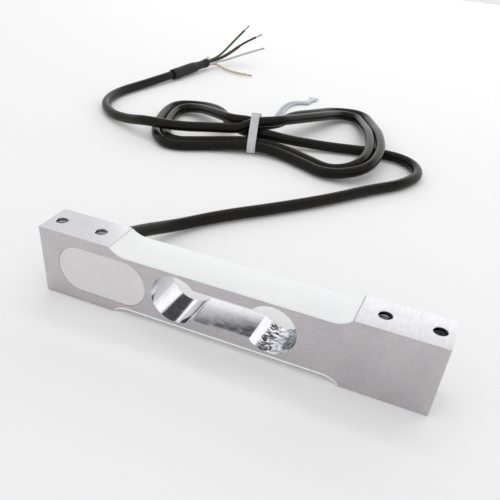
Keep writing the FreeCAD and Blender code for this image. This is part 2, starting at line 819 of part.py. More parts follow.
# ---------------------------------------------------------------- cable tie
half_tie = S["tie_width"] / 2
loop = belt_solid(S["tie_fit"] + S["tie_thick"], -half_tie, half_tie)
loop = loop.cut(belt_solid(S["tie_fit"], -half_tie - 1, half_tie + 1))
# The head sits on the back of the loop, its strap slot upright, the tail out below it.
back_v = max(v for v, z in seats) + R_CABLE + S["tie_fit"] + S["tie_thick"] * 0.5
head_z = seats[3][1] + R_CABLE * 0.8
HEAD = S["tie_head"]


def tie_block(u0, u1, v0, v1, z0, z1):
    b = Part.makeBox(u1 - u0, v1 - v0, z1 - z0)
    m = FreeCAD.Matrix()
    m.A11, m.A21, m.A31 = ALONG.x, ALONG.y, 0
    m.A12, m.A22, m.A32 = ACROSS.x, ACROSS.y, 0
    b.transformShape(m)
    b.translate(waist(u0, v0, z0))
    return b


head_low = head_z - HEAD / 2
head = tie_block(-HEAD / 2, HEAD / 2, back_v, back_v + HEAD * 0.85, head_low, head_low + HEAD)
tail_v = back_v + S["tie_thick"] + 0.9
TIE_DOWN = S["tie_thick"] / 2 + 0.35
tie_route = [
    waist(0, tail_v, head_low + 1.0),
    waist(0, tail_v + 1.6, head_low - 2.2 if head_low > 4.2 else 1.9),
    waist(0.6, tail_v + 6.5, TIE_DOWN + 0.3),
    waist(4.6, tail_v + 16.0, TIE_DOWN),
    waist(8.8, tail_v + 30.0, TIE_DOWN),
    waist(11.2, tail_v + 42.0, TIE_DOWN),
    waist(12.9, tail_v + 53.0, TIE_DOWN),
    waist(16.2, tail_v + 62.5, TIE_DOWN),
    waist(21.8, tail_v + 67.8, TIE_DOWN),
    waist(27.4, tail_v + 66.8, TIE_DOWN),
    waist(31.0, tail_v + 78.5, TIE_DOWN),
]


def strap(points, width, thick):
    """A flat strap kept level along its route, its thickness upright to it."""
    edges = route_wire(points, "tie_tail")
    ahead = edges[0].tangentAt(edges[0].FirstParameter)
    side = ALONG * (width / 2)
    face = side.cross(ahead).normalize() * (thick / 2)
    p = points[0]
    section = Part.Wire(
        Part.makePolygon([
            p + side + face, p - side + face, p - side - face, p + side - face, p + side + face
        ]).Edges
    )
    maker = Part.BRepOffsetAPI.MakePipeShell(Part.Wire(edges))
    maker.setFrenetMode(False)
    maker.add(section)
    maker.build()
    maker.makeSolid()
    return maker.shape()


tie_tail = strap(tie_route, S["tie_tail_width"], S["tie_thick"])
tie_shape = loop.fuse([head, tie_tail]).removeSplitter()
print("tie", tie_shape.isValid(), len(tie_shape.Solids), round(tie_shape.Volume, 1))
tie = shaped("CableTie", tie_shape.Solids[0], "cable_tie")

# ---------------------------------------------------------------- cores and potting in the pocket
inner = []
stub_end = POCKET_FLOOR - S["cable_stub"]
board_left = number(BOARD_LEFT)
board_front = number(BOARD_FRONT)
ri = S["inner_core_dia"] / 2
pitch = S["inner_core_dia"] * 0.56
for colour, rank in (("red", 3), ("green", 1), ("white", -1), ("black", -3)):
    z = HALF_H + rank * pitch
    end_z = HALF_H + rank * 1.15
    dive = board_front - ri - 0.03
    points = [
        V(EXIT.x, stub_end, z),
        V(EXIT.x, stub_end - 2.0, z),
        V(EXIT.x + 3.2, dive - 0.5, (z + end_z) / 2),
        V(board_left + 1.6, dive, end_z),
    ]
    inner.append(shaped("Inner" + colour.capitalize(), tube(points, 2 * ri, None, 6), "inner_core_" + colour))

fill = doc.addObject("PartDesign::Body", "Fill")
at(fill, z="beam_height / 2")
fill_sketch = sketch_on(fill, "XZ_Plane", "FillShape", "beam_width / 2 - pocket_depth")
stadium_sketch(fill_sketch, POCKET_LEFT, POCKET_RIGHT, "pocket_height")
pad(fill, fill_sketch, "pocket_depth", midplane=False)
inside = [board, lead, ribbons[1], ribbons[-1]] + resistors + inner
buried = joined("Buried", "Part::MultiFuse", inside[0], inside[1:])
potting = joined("Potting", "Part::Cut", fill, buried)
keep(potting, "side_potting")

seal_out = doc.addObject("Part::Cone", "SealOuter")
bind(seal_out, Radius1="cable_dia / 2 + seal_width", Radius2="cable_dia / 2 + 0.6", Height="seal_thick")
seal_bore = doc.addObject("Part::Cylinder", "SealBore")
bind(seal_bore, Radius="cable_dia / 2 + 0.05", Height="seal_thick")
for part in (seal_out, seal_bore):
    part.Placement.Rotation = FreeCAD.Rotation(V(1, 0, 0), -90)
    at(part, EXIT_X, "beam_width / 2", "beam_height / 2")
seal = keep(joined("CableSeal", "Part::Cut", seal_out, seal_bore), "cable_seal")

# ---------------------------------------------------------------- checks and export
doc.recompute()
for obj in doc.Objects:
    if "Invalid" in obj.State or "Error" in obj.State:
        raise ValueError("failed: " + obj.Name)
labels = set()
for obj in nodes:
    shape = obj.Shape
    if shape.isNull() or not shape.isValid():
        raise ValueError("bad shape: " + obj.Label)
    if obj.Label in labels:
        raise ValueError("label used twice: " + obj.Label)
    labels.add(obj.Label)
    if len(shape.Solids) != 1:
        raise ValueError("not one solid: %s has %d" % (obj.Label, len(shape.Solids)))
os.makedirs("parts", exist_ok=True)
for obj in nodes:
    obj.Shape.exportStep("parts/" + obj.Label + ".step")
    b = obj.Shape.BoundBox
    print("%-28s %9.2f mm3  x %.1f..%.1f  y %.1f..%.1f  z %.2f..%.2f" % (
        obj.Label, obj.Shape.Volume, b.XMin, b.XMax, b.YMin, b.YMax, b.ZMin, b.ZMax))
print(len(nodes), "nodes")
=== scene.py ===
"""Looks of the single point load cell: a machined aluminium beam, its sealants and its tied cable."""
import math

import bpy
from mathutils import Matrix, Vector, noise


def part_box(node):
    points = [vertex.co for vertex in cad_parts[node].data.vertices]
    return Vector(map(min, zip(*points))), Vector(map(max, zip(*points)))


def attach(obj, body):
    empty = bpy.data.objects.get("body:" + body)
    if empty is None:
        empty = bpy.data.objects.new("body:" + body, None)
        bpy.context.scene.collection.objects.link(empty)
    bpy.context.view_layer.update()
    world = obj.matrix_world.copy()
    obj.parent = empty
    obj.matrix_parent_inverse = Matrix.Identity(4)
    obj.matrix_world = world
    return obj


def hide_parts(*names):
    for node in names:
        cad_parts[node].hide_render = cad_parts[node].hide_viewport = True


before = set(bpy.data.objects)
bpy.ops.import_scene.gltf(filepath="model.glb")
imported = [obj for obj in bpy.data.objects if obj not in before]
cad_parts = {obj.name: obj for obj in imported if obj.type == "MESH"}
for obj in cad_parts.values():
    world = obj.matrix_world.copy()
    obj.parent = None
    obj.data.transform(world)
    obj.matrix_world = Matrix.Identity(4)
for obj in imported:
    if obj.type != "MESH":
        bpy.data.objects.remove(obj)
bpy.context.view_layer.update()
MM = 0.001


# ---------------------------------------------------------------- places taken from the frame
beam_low, beam_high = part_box("beam_body")
seal_low, seal_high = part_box("cable_seal")
BEAM = beam_high - beam_low
EXIT = Vector(((seal_low.x + seal_high.x) / 2, seal_low.y, 0.0))
EXIT_HEIGHT = (seal_low.z + seal_high.z) / 2
CABLE_MM = 5.0
CABLE = CABLE_MM * MM
CORE = 1.4 * MM


def lay(x, y, rise=0.1):
    """A cable centre from the foot of the exit, in millimetres, resting or raised."""
    return Vector((EXIT.x + x * MM, EXIT.y + y * MM, (rise + CABLE_MM / 2) * MM))


# The hank's tied waist, and the ways along and across it.
WAIST = Vector((EXIT.x + 1.3 * MM, EXIT.y + 135.7 * MM, 0.0))
ALONG = Vector((0.954, 0.300, 0.0)).normalized()
ACROSS = Vector((-ALONG.y, ALONG.x, 0.0))


def waist(u, v, z):
    """A point from the hank's tied waist, in millimetres along it, across it and up."""
    return WAIST + ALONG * (u * MM) + ACROSS * (v * MM) + Vector((0, 0, z * MM))


# ---------------------------------------------------------------- small modelling helpers
def clear_selection():
    for other in bpy.context.selected_objects:
        other.select_set(False)


def pick(piece):
    clear_selection()
    piece.select_set(True)
    bpy.context.view_layer.objects.active = piece


def settle(piece, name):
    """Puts a piece's place into its mesh and names it."""
    pick(piece)
    bpy.ops.object.transform_apply(location=True, rotation=True, scale=True)
    piece.name = name
    piece.data.name = name
    return piece


def apply_all(piece):
    pick(piece)
    for modifier in list(piece.modifiers):
        bpy.ops.object.modifier_apply(modifier=modifier.name)


def block(low, high):
    """A box between two corners."""
    clear_selection()
    middle = (Vector(low) + Vector(high)) / 2
    size = Vector(high) - Vector(low)
    bpy.ops.mesh.primitive_cube_add(size=1, location=middle, scale=size)
    piece = bpy.context.object
    bpy.ops.object.transform_apply(location=True, rotation=True, scale=True)
    return piece


def rod(start, stop, radius, sides, end_radius=None):
    """A round bar, or a cone, between two points."""
    clear_selection()
    start, stop = Vector(start), Vector(stop)
    run = stop - start
    bpy.ops.mesh.primitive_cone_add(
        vertices=sides, radius1=radius, radius2=radius if end_radius is None else end_radius,
        depth=run.length, location=(start + stop) / 2, rotation=run.to_track_quat("Z", "Y").to_euler())
    piece = bpy.context.object
    bpy.ops.object.transform_apply(location=True, rotation=True, scale=True)
    return piece


def bevel_edges(piece, wanted, width, segments):
    """Rounds the edges of a mesh that a test on their two ends picks."""
    pick(piece)
    for edge in piece.data.edges:
        ends = [piece.data.vertices[i].co for i in edge.vertices]
        edge.select = wanted(*ends)
    for vertex in piece.data.vertices:
        vertex.select = False
    for edge in piece.data.edges:
        if edge.select:
            for i in edge.vertices:
                piece.data.vertices[i].select = True
    for face in piece.data.polygons:
        face.select = False
    bpy.ops.object.mode_set(mode="EDIT")
    bpy.ops.mesh.select_mode(type="EDGE")
    bpy.ops.mesh.bevel(offset=width, segments=segments, affect="EDGES", clamp_overlap=False)
    bpy.ops.object.mode_set(mode="OBJECT")


def carve(piece, cutter, operation="DIFFERENCE"):
    """Cuts one mesh with another, which is used up."""
    cut = piece.modifiers.new("cut", "BOOLEAN")
    cut.operation = operation
    cut.solver = "EXACT"
    cut.object = cutter
    apply_all(piece)
    bpy.data.objects.remove(cutter)


def smooth(piece, degrees=30):
    pick(piece)
    bpy.ops.object.shade_smooth_by_angle(angle=math.radians(degrees))


def finish_surface(piece, bevel, segments=2, degrees=35):
    """Breaks the sharp edges with a small round and keeps the flats flat."""
    edge = piece.modifiers.new("edge", "BEVEL")
    edge.width = bevel
    edge.segments = segments
    edge.limit_method = "ANGLE"
    edge.angle_limit = math.radians(degrees)
    edge.use_clamp_overlap = True
    apply_all(piece)
    smooth(piece)
    weight = piece.modifiers.new("weight", "WEIGHTED_NORMAL")
    weight.keep_sharp = True
    apply_all(piece)


def joined(pieces):
    """Makes one piece of several, under the first one's name."""
    clear_selection()
    for piece in pieces:
        piece.select_set(True)
    bpy.context.view_layer.objects.active = pieces[0]
    bpy.ops.object.join()
    return pieces[0]


def wrapped(bars):
    """The solid that a skin drawn tight round some bars would enclose."""
    solid = joined(bars)
    bpy.ops.object.mode_set(mode="EDIT")
    bpy.ops.mesh.select_all(action="SELECT")
    bpy.ops.mesh.convex_hull()
    bpy.ops.mesh.select_all(action="SELECT")
    bpy.ops.mesh.dissolve_limited(angle_limit=math.radians(0.5))
    bpy.ops.object.mode_set(mode="OBJECT")
    return solid


def turned(name, profile, axis_start, axis, sides=48):
    """A thin skin of revolution along an axis, from distances along it and outside radii."""
    clear_selection()
    first = profile[0]
    bpy.ops.mesh.primitive_circle_add(
        vertices=sides, radius=first[1] * MM, location=axis_start + axis * (first[0] * MM),
        rotation=axis.to_track_quat("Z", "Y").to_euler())
    piece = bpy.context.object
    settle(piece, name)
    bpy.ops.object.mode_set(mode="EDIT")
    bpy.ops.mesh.select_all(action="SELECT")
    for (place, radius), (further, wider) in zip(profile, profile[1:]):
        step = axis * ((further - place) * MM)
        bpy.ops.mesh.extrude_edges_move(TRANSFORM_OT_translate={"value": step})
        middle = axis_start + axis * (further * MM)
        grow = wider / radius
        bpy.ops.transform.resize(value=(grow, grow, grow), center_override=middle)
    bpy.ops.object.mode_set(mode="OBJECT")
    return piece


def face_outwards(piece):
    """Merges doubled points and turns every face outwards."""
    pick(piece)
    bpy.ops.object.mode_set(mode="EDIT")
    bpy.ops.mesh.select_all(action="SELECT")
    bpy.ops.mesh.remove_doubles(threshold=0.002 * MM)
    bpy.ops.mesh.normals_make_consistent(inside=False)
    bpy.ops.object.mode_set(mode="OBJECT")


def close_ends(piece):
    """Fills the open ends of a skin, which makes it a solid."""
    pick(piece)
    bpy.ops.object.mode_set(mode="EDIT")
    bpy.ops.mesh.select_all(action="SELECT")
    bpy.ops.mesh.fill_holes(sides=0)
    bpy.ops.object.mode_set(mode="OBJECT")
    face_outwards(piece)


def rumple(piece, strength, size, seed_shift=0.0):
    """Moves the surface a little in and out, as heat or a knife leaves it."""
    normals = [v.normal.copy() for v in piece.data.vertices]
    for vertex, normal in zip(piece.data.vertices, normals):
        place = vertex.co * (1000.0 / size) + Vector((seed_shift, 0, 0))
        vertex.co += normal * (noise.noise(place) * strength * MM)


def thicken(piece, wall):
    """Gives a skin a wall, in millimetres, on its inner side."""
    skin = piece.modifiers.new("wall", "SOLIDIFY")
    skin.thickness = wall * MM
    skin.offset = -1.0
    apply_all(piece)


def add_spline(data, points):
    """An open smooth line with the given points as its control points."""
    spline = data.splines.new("NURBS")
    spline.points.add(len(points) - 1)
    for held, point in zip(spline.points, points):
        held.co = (*point, 1.0)
    spline.order_u = 3
    spline.use_endpoint_u = True
    return spline


def new_curve(name):
    data = bpy.data.curves.new(name, "CURVE")
    data.dimensions = "3D"
    return data


def placed(name, data):
    """An object that shows the given curve."""
    piece = bpy.data.objects.new(name, data)
    bpy.context.scene.collection.objects.link(piece)
    return piece


# ---------------------------------------------------------------- materials
def colour(code):
    """An sRGB hex colour as the linear values that the shader reads."""
    out = []
    for i in (0, 2, 4):
        c = int(code.lstrip("#")[i:i + 2], 16) / 255
        out.append(c / 12.92 if c <= 0.04045 else ((c + 0.055) / 1.055) ** 2.4)
    return (*out, 1.0)


def add(tree, kind, feeds=None, **settings):
    """A node with its settings, the values of its sockets and the outputs that feed them."""
    made = tree.nodes.new(kind)
    for key, value in settings.items():
        setattr(made, key, value)
    for socket, value in (feeds or {}).items():
        if isinstance(value, bpy.types.NodeSocket):
            tree.links.new(value, made.inputs[socket])
        else:
            made.inputs[socket].default_value = value
    return made


def started(name):
    """A new material, its node tree, its shader and its object coordinates in millimetres."""
    material = bpy.data.materials.new(name)
    material.use_nodes = True
    tree = material.node_tree
    shader = tree.nodes["Principled BSDF"]
    place = add(tree, "ShaderNodeTexCoord").outputs["Object"]
    grid = add(tree, "ShaderNodeMapping", {"Vector": place, "Scale": (1000, 1000, 1000)}).outputs[0]
    return material, tree, shader, grid


def set_on(shader, **values):
    for key, value in values.items():
        shader.inputs[key.replace("_", " ")].default_value = value


def satin_milled_aluminium():
    """6061 plate, milled and lightly satined: a fine even grain with soft grey reflections."""
    material, tree, shader, grid = started("satin_milled_aluminium")
    along = add(tree, "ShaderNodeMapping", {"Vector": grid, "Scale": (0.35, 1.0, 1.0)}).outputs[0]
    grain = add(tree, "ShaderNodeTexNoise", {"Vector": along, "Scale": 3.2, "Detail": 4.0}).outputs[0]
    cloud = add(tree, "ShaderNodeTexNoise", {"Vector": grid, "Scale": 0.09, "Detail": 3.0}).outputs[0]
    tone = add(tree, "ShaderNodeMix", {0: cloud, 6: colour("#bab2b5"), 7: colour("#d3d1d2")},
               data_type="RGBA").outputs[2]
    fleck = add(tree, "ShaderNodeMapRange", {
        "Value": grain, "From Min": 0.35, "From Max": 0.75, "To Min": 0.0, "To Max": 0.4}).outputs[0]
    worked = add(tree, "ShaderNodeMix", {0: fleck, 6: tone, 7: colour("#b3aeb1")},
                 data_type="RGBA").outputs[2]
    tree.links.new(worked, shader.inputs["Base Color"])
    satin = add(tree, "ShaderNodeMapRange", {
        "Value": grain, "From Min": 0.3, "From Max": 0.7, "To Min": 0.22, "To Max": 0.31}).outputs[0]
    tree.links.new(satin, shader.inputs["Roughness"])
    bump = add(tree, "ShaderNodeBump", {"Height": grain, "Strength": 0.12, "Distance": 0.00003})
    tree.links.new(bump.outputs[0], shader.inputs["Normal"])
    set_on(shader, Metallic=1.0)
    return material


def fly_cut_aluminium_painted_light():
    """The mounting faces, finished with one light fly cut: flatter than the sides, with a lighter base colour
    that is painted light.
    """
    material, tree, shader, grid = started("fly_cut_aluminium_painted_light")
    along = add(tree, "ShaderNodeMapping", {"Vector": grid, "Scale": (1.0, 0.2, 1.0)}).outputs[0]
    sweep = add(tree, "ShaderNodeTexNoise", {"Vector": along, "Scale": 2.4, "Detail": 3.0}).outputs[0]
    cloud = add(tree, "ShaderNodeTexNoise", {"Vector": grid, "Scale": 0.08, "Detail": 2.0}).outputs[0]
    # Painted light: these faces get a lighter base colour than the milled sides.
    tone = add(tree, "ShaderNodeMix", {0: cloud, 6: colour("#d9dadf"), 7: colour("#e6e4e6")},
               data_type="RGBA").outputs[2]
    tree.links.new(tone, shader.inputs["Base Color"])
    gloss = add(tree, "ShaderNodeMapRange", {
        "Value": sweep, "From Min": 0.3, "From Max": 0.7, "To Min": 0.17, "To Max": 0.25}).outputs[0]
    tree.links.new(gloss, shader.inputs["Roughness"])
    bump = add(tree, "ShaderNodeBump", {"Height": sweep, "Strength": 0.1, "Distance": 0.00003})
    tree.links.new(bump.outputs[0], shader.inputs["Normal"])
    set_on(shader, Metallic=1.0)
    return material


def bored_aluminium():
    """Bores and slot cut with a fine feed: mirror bright, with a chattered bump where the final bore was cut,
    and a painted dark reflection in mottled patches on what lies right of the right bore's middle.
    """
    material, tree, shader, grid = started("bored_aluminium")
    rings = add(tree, "ShaderNodeTexWave", {
        "Vector": grid, "Scale": 0.3, "Distortion": 2.5, "Detail": 2.0, "Detail Scale": 0.6},
        bands_direction="Y").outputs["Fac"]
    faint = add(tree, "ShaderNodeMath", {0: rings, 1: 0.0003}, operation="MULTIPLY").outputs[0]
    chatter_and_reflection_mottle = add(tree, "ShaderNodeTexNoise", {
        "Vector": grid, "Scale": 0.34, "Detail": 3.0, "Roughness": 0.5, "Distortion": 0.8}).outputs[0]
    across = add(tree, "ShaderNodeSeparateXYZ", {0: grid}).outputs[0]
    where = add(tree, "ShaderNodeMapRange", {
        "Value": across, "From Min": 10.5, "From Max": 17.0, "To Min": 0.002, "To Max": 0.6}).outputs[0]
    rough_cut = add(tree, "ShaderNodeMath", {0: chatter_and_reflection_mottle, 1: where}, operation="MULTIPLY").outputs[0]
    height = add(tree, "ShaderNodeMath", {0: faint, 1: rough_cut}, operation="ADD").outputs[0]
    bump = add(tree, "ShaderNodeBump", {"Height": height, "Strength": 1.0, "Distance": 0.0009})
    tree.links.new(bump.outputs[0], shader.inputs["Normal"])
    bright = add(tree, "ShaderNodeMix", {0: chatter_and_reflection_mottle, 6: colour("#c3c3c9"), 7: colour("#dfdfe1")},
                 data_type="RGBA").outputs[2]
    # A painted dark reflection: dark mottled patches that grow in from the right bore's middle towards the
    # right.
    reflection_patches = add(tree, "ShaderNodeMapRange", {
        "Value": chatter_and_reflection_mottle, "From Min": 0.56, "From Max": 0.44, "To Min": 0.25, "To Max": 0.95}).outputs[0]
    right_side_ramp = add(tree, "ShaderNodeMapRange", {
        "Value": across, "From Min": 15.5, "From Max": 19.5, "To Min": 0.0, "To Max": 1.0}).outputs[0]
    painted_dark_reflection = add(tree, "ShaderNodeMath", {0: reflection_patches, 1: right_side_ramp}, operation="MULTIPLY").outputs[0]
    tone = add(tree, "ShaderNodeMix", {0: painted_dark_reflection, 6: bright, 7: colour("#5f666f")},
               data_type="RGBA").outputs[2]
    tree.links.new(tone, shader.inputs["Base Color"])
    gloss = add(tree, "ShaderNodeMapRange", {
        "Value": chatter_and_reflection_mottle, "From Min": 0.3, "From Max": 0.7, "To Min": 0.05, "To Max": 0.11}).outputs[0]
    tree.links.new(gloss, shader.inputs["Roughness"])
    set_on(shader, Metallic=1.0)
    return material


def white_silicone():
    """Neutral cure silicone, poured and levelled: bright white, smooth, with a soft skin."""
    material, tree, shader, grid = started("white_silicone")
    cloud = add(tree, "ShaderNodeTexNoise", {"Vector": grid, "Scale": 0.05, "Detail": 1.0}).outputs[0]
    tone = add(tree, "ShaderNodeMix", {0: cloud, 6: colour("#f0f3f3"), 7: colour("#f7f8f5")},
               data_type="RGBA").outputs[2]
    tree.links.new(tone, shader.inputs["Base Color"])
    skin = add(tree, "ShaderNodeMapRange", {
        "Value": cloud, "From Min": 0.3, "From Max": 0.7, "To Min": 0.25, "To Max": 0.35}).outputs[0]
    tree.links.new(skin, shader.inputs["Roughness"])
    ripple = add(tree, "ShaderNodeTexNoise", {"Vector": grid, "Scale": 0.25, "Detail": 1.0}).outputs[0]
    bump = add(tree, "ShaderNodeBump", {"Height": ripple, "Strength": 0.08, "Distance": 0.0002})
    tree.links.new(bump.outputs[0], shader.inputs["Normal"])
    set_on(shader, Subsurface_Weight=0.1, Subsurface_Scale=0.0008, IOR=1.41)
    return material


def pale_potting():
    """Grey white potting silicone, troweled flush: dull, a little pink and very slightly mottled."""
    material, tree, shader, grid = started("pale_potting")
    cloud = add(tree, "ShaderNodeTexNoise", {"Vector": grid, "Scale": 0.16, "Detail": 4.0}).outputs[0]
    speck = add(tree, "ShaderNodeTexNoise", {"Vector": grid, "Scale": 1.6, "Detail": 3.0}).outputs[0]
    tone = add(tree, "ShaderNodeMix", {0: cloud, 6: colour("#d6d2d3"), 7: colour("#e4e1e2")},
               data_type="RGBA").outputs[2]
    fleck = add(tree, "ShaderNodeMapRange", {
        "Value": speck, "From Min": 0.35, "From Max": 0.7, "To Min": 0.0, "To Max": 0.25}).outputs[0]
    mottled = add(tree, "ShaderNodeMix", {0: fleck, 6: tone, 7: colour("#cbc7c8")},
                  data_type="RGBA").outputs[2]
    tree.links.new(mottled, shader.inputs["Base Color"])
    bump = add(tree, "ShaderNodeBump", {"Height": speck, "Strength": 0.2, "Distance": 0.00008})
    tree.links.new(bump.outputs[0], shader.inputs["Normal"])
    set_on(shader, Roughness=0.5, IOR=1.41)
    return material


def black_pvc_jacket():
    """Soft black PVC, extruded: near black with a faint warm cast, and a narrow wet looking highlight."""
    material, tree, shader, grid = started("black_pvc_jacket")
    rub = add(tree, "ShaderNodeTexNoise", {"Vector": grid, "Scale": 0.06, "Detail": 3.0}).outputs[0]
    fine = add(tree, "ShaderNodeTexNoise", {"Vector": grid, "Scale": 1.4, "Detail": 4.0}).outputs[0]
    tone = add(tree, "ShaderNodeMix", {0: rub, 6: colour("#0d0c08"), 7: colour("#191712")},
               data_type="RGBA").outputs[2]
    tree.links.new(tone, shader.inputs["Base Color"])
    sheen = add(tree, "ShaderNodeMapRange", {
        "Value": fine, "From Min": 0.3, "From Max": 0.7, "To Min": 0.2, "To Max": 0.32}).outputs[0]
    tree.links.new(sheen, shader.inputs["Roughness"])
    bump = add(tree, "ShaderNodeBump", {"Height": fine, "Strength": 0.1, "Distance": 0.00006})
    tree.links.new(bump.outputs[0], shader.inputs["Normal"])
    set_on(shader, IOR=1.53, Specular_IOR_Level=0.14)
    return material


def shrink_tubing():
    """Polyolefin shrink tube: matt black, slightly orange peeled where it was heated."""
    material, tree, shader, grid = started("shrink_tubing")
    peel = add(tree, "ShaderNodeTexNoise", {"Vector": grid, "Scale": 1.1, "Detail": 2.0}).outputs[0]
    tone = add(tree, "ShaderNodeMix", {0: peel, 6: colour("#0f0e0c"), 7: colour("#1b1a17")},
               data_type="RGBA").outputs[2]
    tree.links.new(tone, shader.inputs["Base Color"])
    bump = add(tree, "ShaderNodeBump", {"Height": peel, "Strength": 0.35, "Distance": 0.00012})
    tree.links.new(bump.outputs[0], shader.inputs["Normal"])
    set_on(shader, Roughness=0.5, IOR=1.5, Specular_IOR_Level=0.25)
    return material


def core_insulation(name, code, dark):
    """Coloured PVC insulation, extruded thin: an even low gloss, darker in handled places."""
    material, tree, shader, grid = started(name)
    cloud = add(tree, "ShaderNodeTexNoise", {"Vector": grid, "Scale": 0.2, "Detail": 2.0}).outputs[0]
    tone = add(tree, "ShaderNodeMix", {0: cloud, 6: colour(dark), 7: colour(code)},
               data_type="RGBA").outputs[2]
    tree.links.new(tone, shader.inputs["Base Color"])
    set_on(shader, Roughness=0.4, IOR=1.53, Specular_IOR_Level=0.3)
    return material


def tinned_copper():
    """Tinned copper strands: silvery, a little dull, with warmer patches where the tin is thin."""
    material, tree, shader, grid = started("tinned_copper")
    cloud = add(tree, "ShaderNodeTexNoise", {"Vector": grid, "Scale": 1.2, "Detail": 3.0}).outputs[0]
    tone = add(tree, "ShaderNodeMix", {0: cloud, 6: colour("#8e7f6c"), 7: colour("#b5b1aa")},
               data_type="RGBA").outputs[2]
    tree.links.new(tone, shader.inputs["Base Color"])
    set_on(shader, Metallic=1.0, Roughness=0.32)
    return material


def natural_nylon():
    """Undyed nylon 66, injection moulded: milky and satin with a cool cast and lengthwise flow lines."""
    material, tree, shader, grid = started("natural_nylon")
    drawn = add(tree, "ShaderNodeMapping", {"Vector": grid, "Scale": (1.6, 0.25, 0.25)}).outputs[0]
    flow = add(tree, "ShaderNodeTexNoise", {"Vector": drawn, "Scale": 0.9, "Detail": 2.0}).outputs[0]
    tone = add(tree, "ShaderNodeMix", {0: flow, 6: colour("#a5a9b0"), 7: colour("#d6d8dc")},
               data_type="RGBA").outputs[2]
    tree.links.new(tone, shader.inputs["Base Color"])
    set_on(shader, Roughness=0.34, IOR=1.53, Subsurface_Weight=0.15, Subsurface_Scale=0.0006)
    return material


def twisted_cotton():
    """Undyed cotton filler, cut off and frayed: cream, fluffy and dull."""
    material, tree, shader, grid = started("twisted_cotton")
    fluff = add(tree, "ShaderNodeTexNoise", {"Vector": grid, "Scale": 1.5, "Detail": 4.0}).outputs[0]
    tone = add(tree, "ShaderNodeMix", {0: fluff, 6: colour("#b9a877"), 7: colour("#fff6d8")},
               data_type="RGBA").outputs[2]
    tree.links.new(tone, shader.inputs["Base Color"])
    bump = add(tree, "ShaderNodeBump", {"Height": fluff, "Strength": 0.6, "Distance": 0.0003})
    tree.links.new(bump.outputs[0], shader.inputs["Normal"])
    set_on(shader, Roughness=0.85)
    return material


def polyimide_foil():
    """Polyimide gauge backing over etched constantan: clear amber, smooth, with browner patches."""
    material, tree, shader, grid = started("polyimide_foil")
    lines = add(tree, "ShaderNodeTexWave", {"Vector": grid, "Scale": 1.2, "Distortion": 0.3}).outputs["Fac"]
    tone = add(tree, "ShaderNodeMix", {0: lines, 6: colour("#a86e1f"), 7: colour("#c98a2e")},
               data_type="RGBA").outputs[2]
    tree.links.new(tone, shader.inputs["Base Color"])
    set_on(shader, Roughness=0.3)
    return material


def enamelled_ribbon():
    """Flat enamelled lead ribbon: copper brown with a clear coat's gloss."""
    material, tree, shader, grid = started("enamelled_ribbon")
    cloud = add(tree, "ShaderNodeTexNoise", {"Vector": grid, "Scale": 0.9, "Detail": 3.0}).outputs[0]
    tone = add(tree, "ShaderNodeMix", {0: cloud, 6: colour("#8f3c1d"), 7: colour("#b5532a")},
               data_type="RGBA").outputs[2]
    tree.links.new(tone, shader.inputs["Base Color"])
    set_on(shader, Roughness=0.35)
    return material


def glass_epoxy_laminate():
    """Glass epoxy board under green solder mask: the weave just shows as a fine check."""
    material, tree, shader, grid = started("glass_epoxy_laminate")
    weave = add(tree, "ShaderNodeTexChecker", {"Vector": grid, "Scale": 1.6}).outputs["Fac"]
    tone = add(tree, "ShaderNodeMix", {0: weave, 6: colour("#1c6237"), 7: colour("#1f6b3d")},
               data_type="RGBA").outputs[2]
    tree.links.new(tone, shader.inputs["Base Color"])
    set_on(shader, Roughness=0.4)
    return material


def resistor_lacquer():
    """Dipped resistor lacquer: nearly black, smooth and a little uneven."""
    material, tree, shader, grid = started("resistor_lacquer")
    cloud = add(tree, "ShaderNodeTexNoise", {"Vector": grid, "Scale": 0.9, "Detail": 3.0}).outputs[0]
    tone = add(tree, "ShaderNodeMix", {0: cloud, 6: colour("#15171a"), 7: colour("#23262b")},
               data_type="RGBA").outputs[2]
    tree.links.new(tone, shader.inputs["Base Color"])
    set_on(shader, Roughness=0.35)
    return material


def dress_node(node, material):
    """Gives a CAD node a better material."""
    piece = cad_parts[node]
    if not piece.material_slots:
        piece.data.materials.append(material)
    for held in piece.material_slots:
        held.material = material


def hand_over(piece, material, slot, *nodes):
    """Gives a finished piece its material and body and hides the nodes it stands for; its slot is not used.
    """
    if material is not None:
        piece.data.materials.clear()
        piece.data.materials.append(material)
    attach(piece, "root")
    if nodes:
        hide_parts(*nodes)


MILLED = satin_milled_aluminium()
BORED = bored_aluminium()
JACKET = black_pvc_jacket()
CORES = {
    "green": core_insulation("green_insulation", "#3b6b48", "#1d3a28"),
    "black": core_insulation("black_insulation", "#3a302d", "#1d1816"),
    "red": core_insulation("red_insulation", "#94554c", "#5f3430"),
    "white": core_insulation("white_insulation", "#cfccce", "#a9a6a8"),
    "shield": core_insulation("cream_insulation", "#d8c8ab", "#a8977a"),
}
TINNED = tinned_copper()

# ---------------------------------------------------------------- camera
bpy.ops.object.camera_add(
    location=(57.4 * MM, -143.1 * MM, 120.5 * MM),
    rotation=(math.radians(50.85), math.radians(-3.18), math.radians(24.73)))
camera = bpy.context.object
camera.data.sensor_width = 36.0
camera.data.lens = 43.87
camera.data.shift_x = 0.05
camera.data.shift_y = 0.19
camera.data.clip_start = 0.005
camera.data.clip_end = 20.0
bpy.context.scene.camera = camera

# ---------------------------------------------------------------- cable
# The lead starts inside the beam and runs straight out of its far side before it bends.
lead_route = [
    Vector((EXIT.x, EXIT.y - 10.4 * MM, EXIT_HEIGHT)),
    Vector((EXIT.x, EXIT.y + 7.5 * MM, EXIT_HEIGHT)),
    lay(1.9, 25.0, 5.2), lay(7.5, 43.5, 0.4), lay(19.0, 60.5), lay(36.0, 78.5), lay(53.5, 99.0),
    lay(67.2, 118.8), lay(79.5, 133.0), lay(85.5, 150.0), lay(76.0, 165.0), lay(57.0, 166.0),
    lay(36.5, 160.0), lay(18.5, 154.2, 1.4),
]
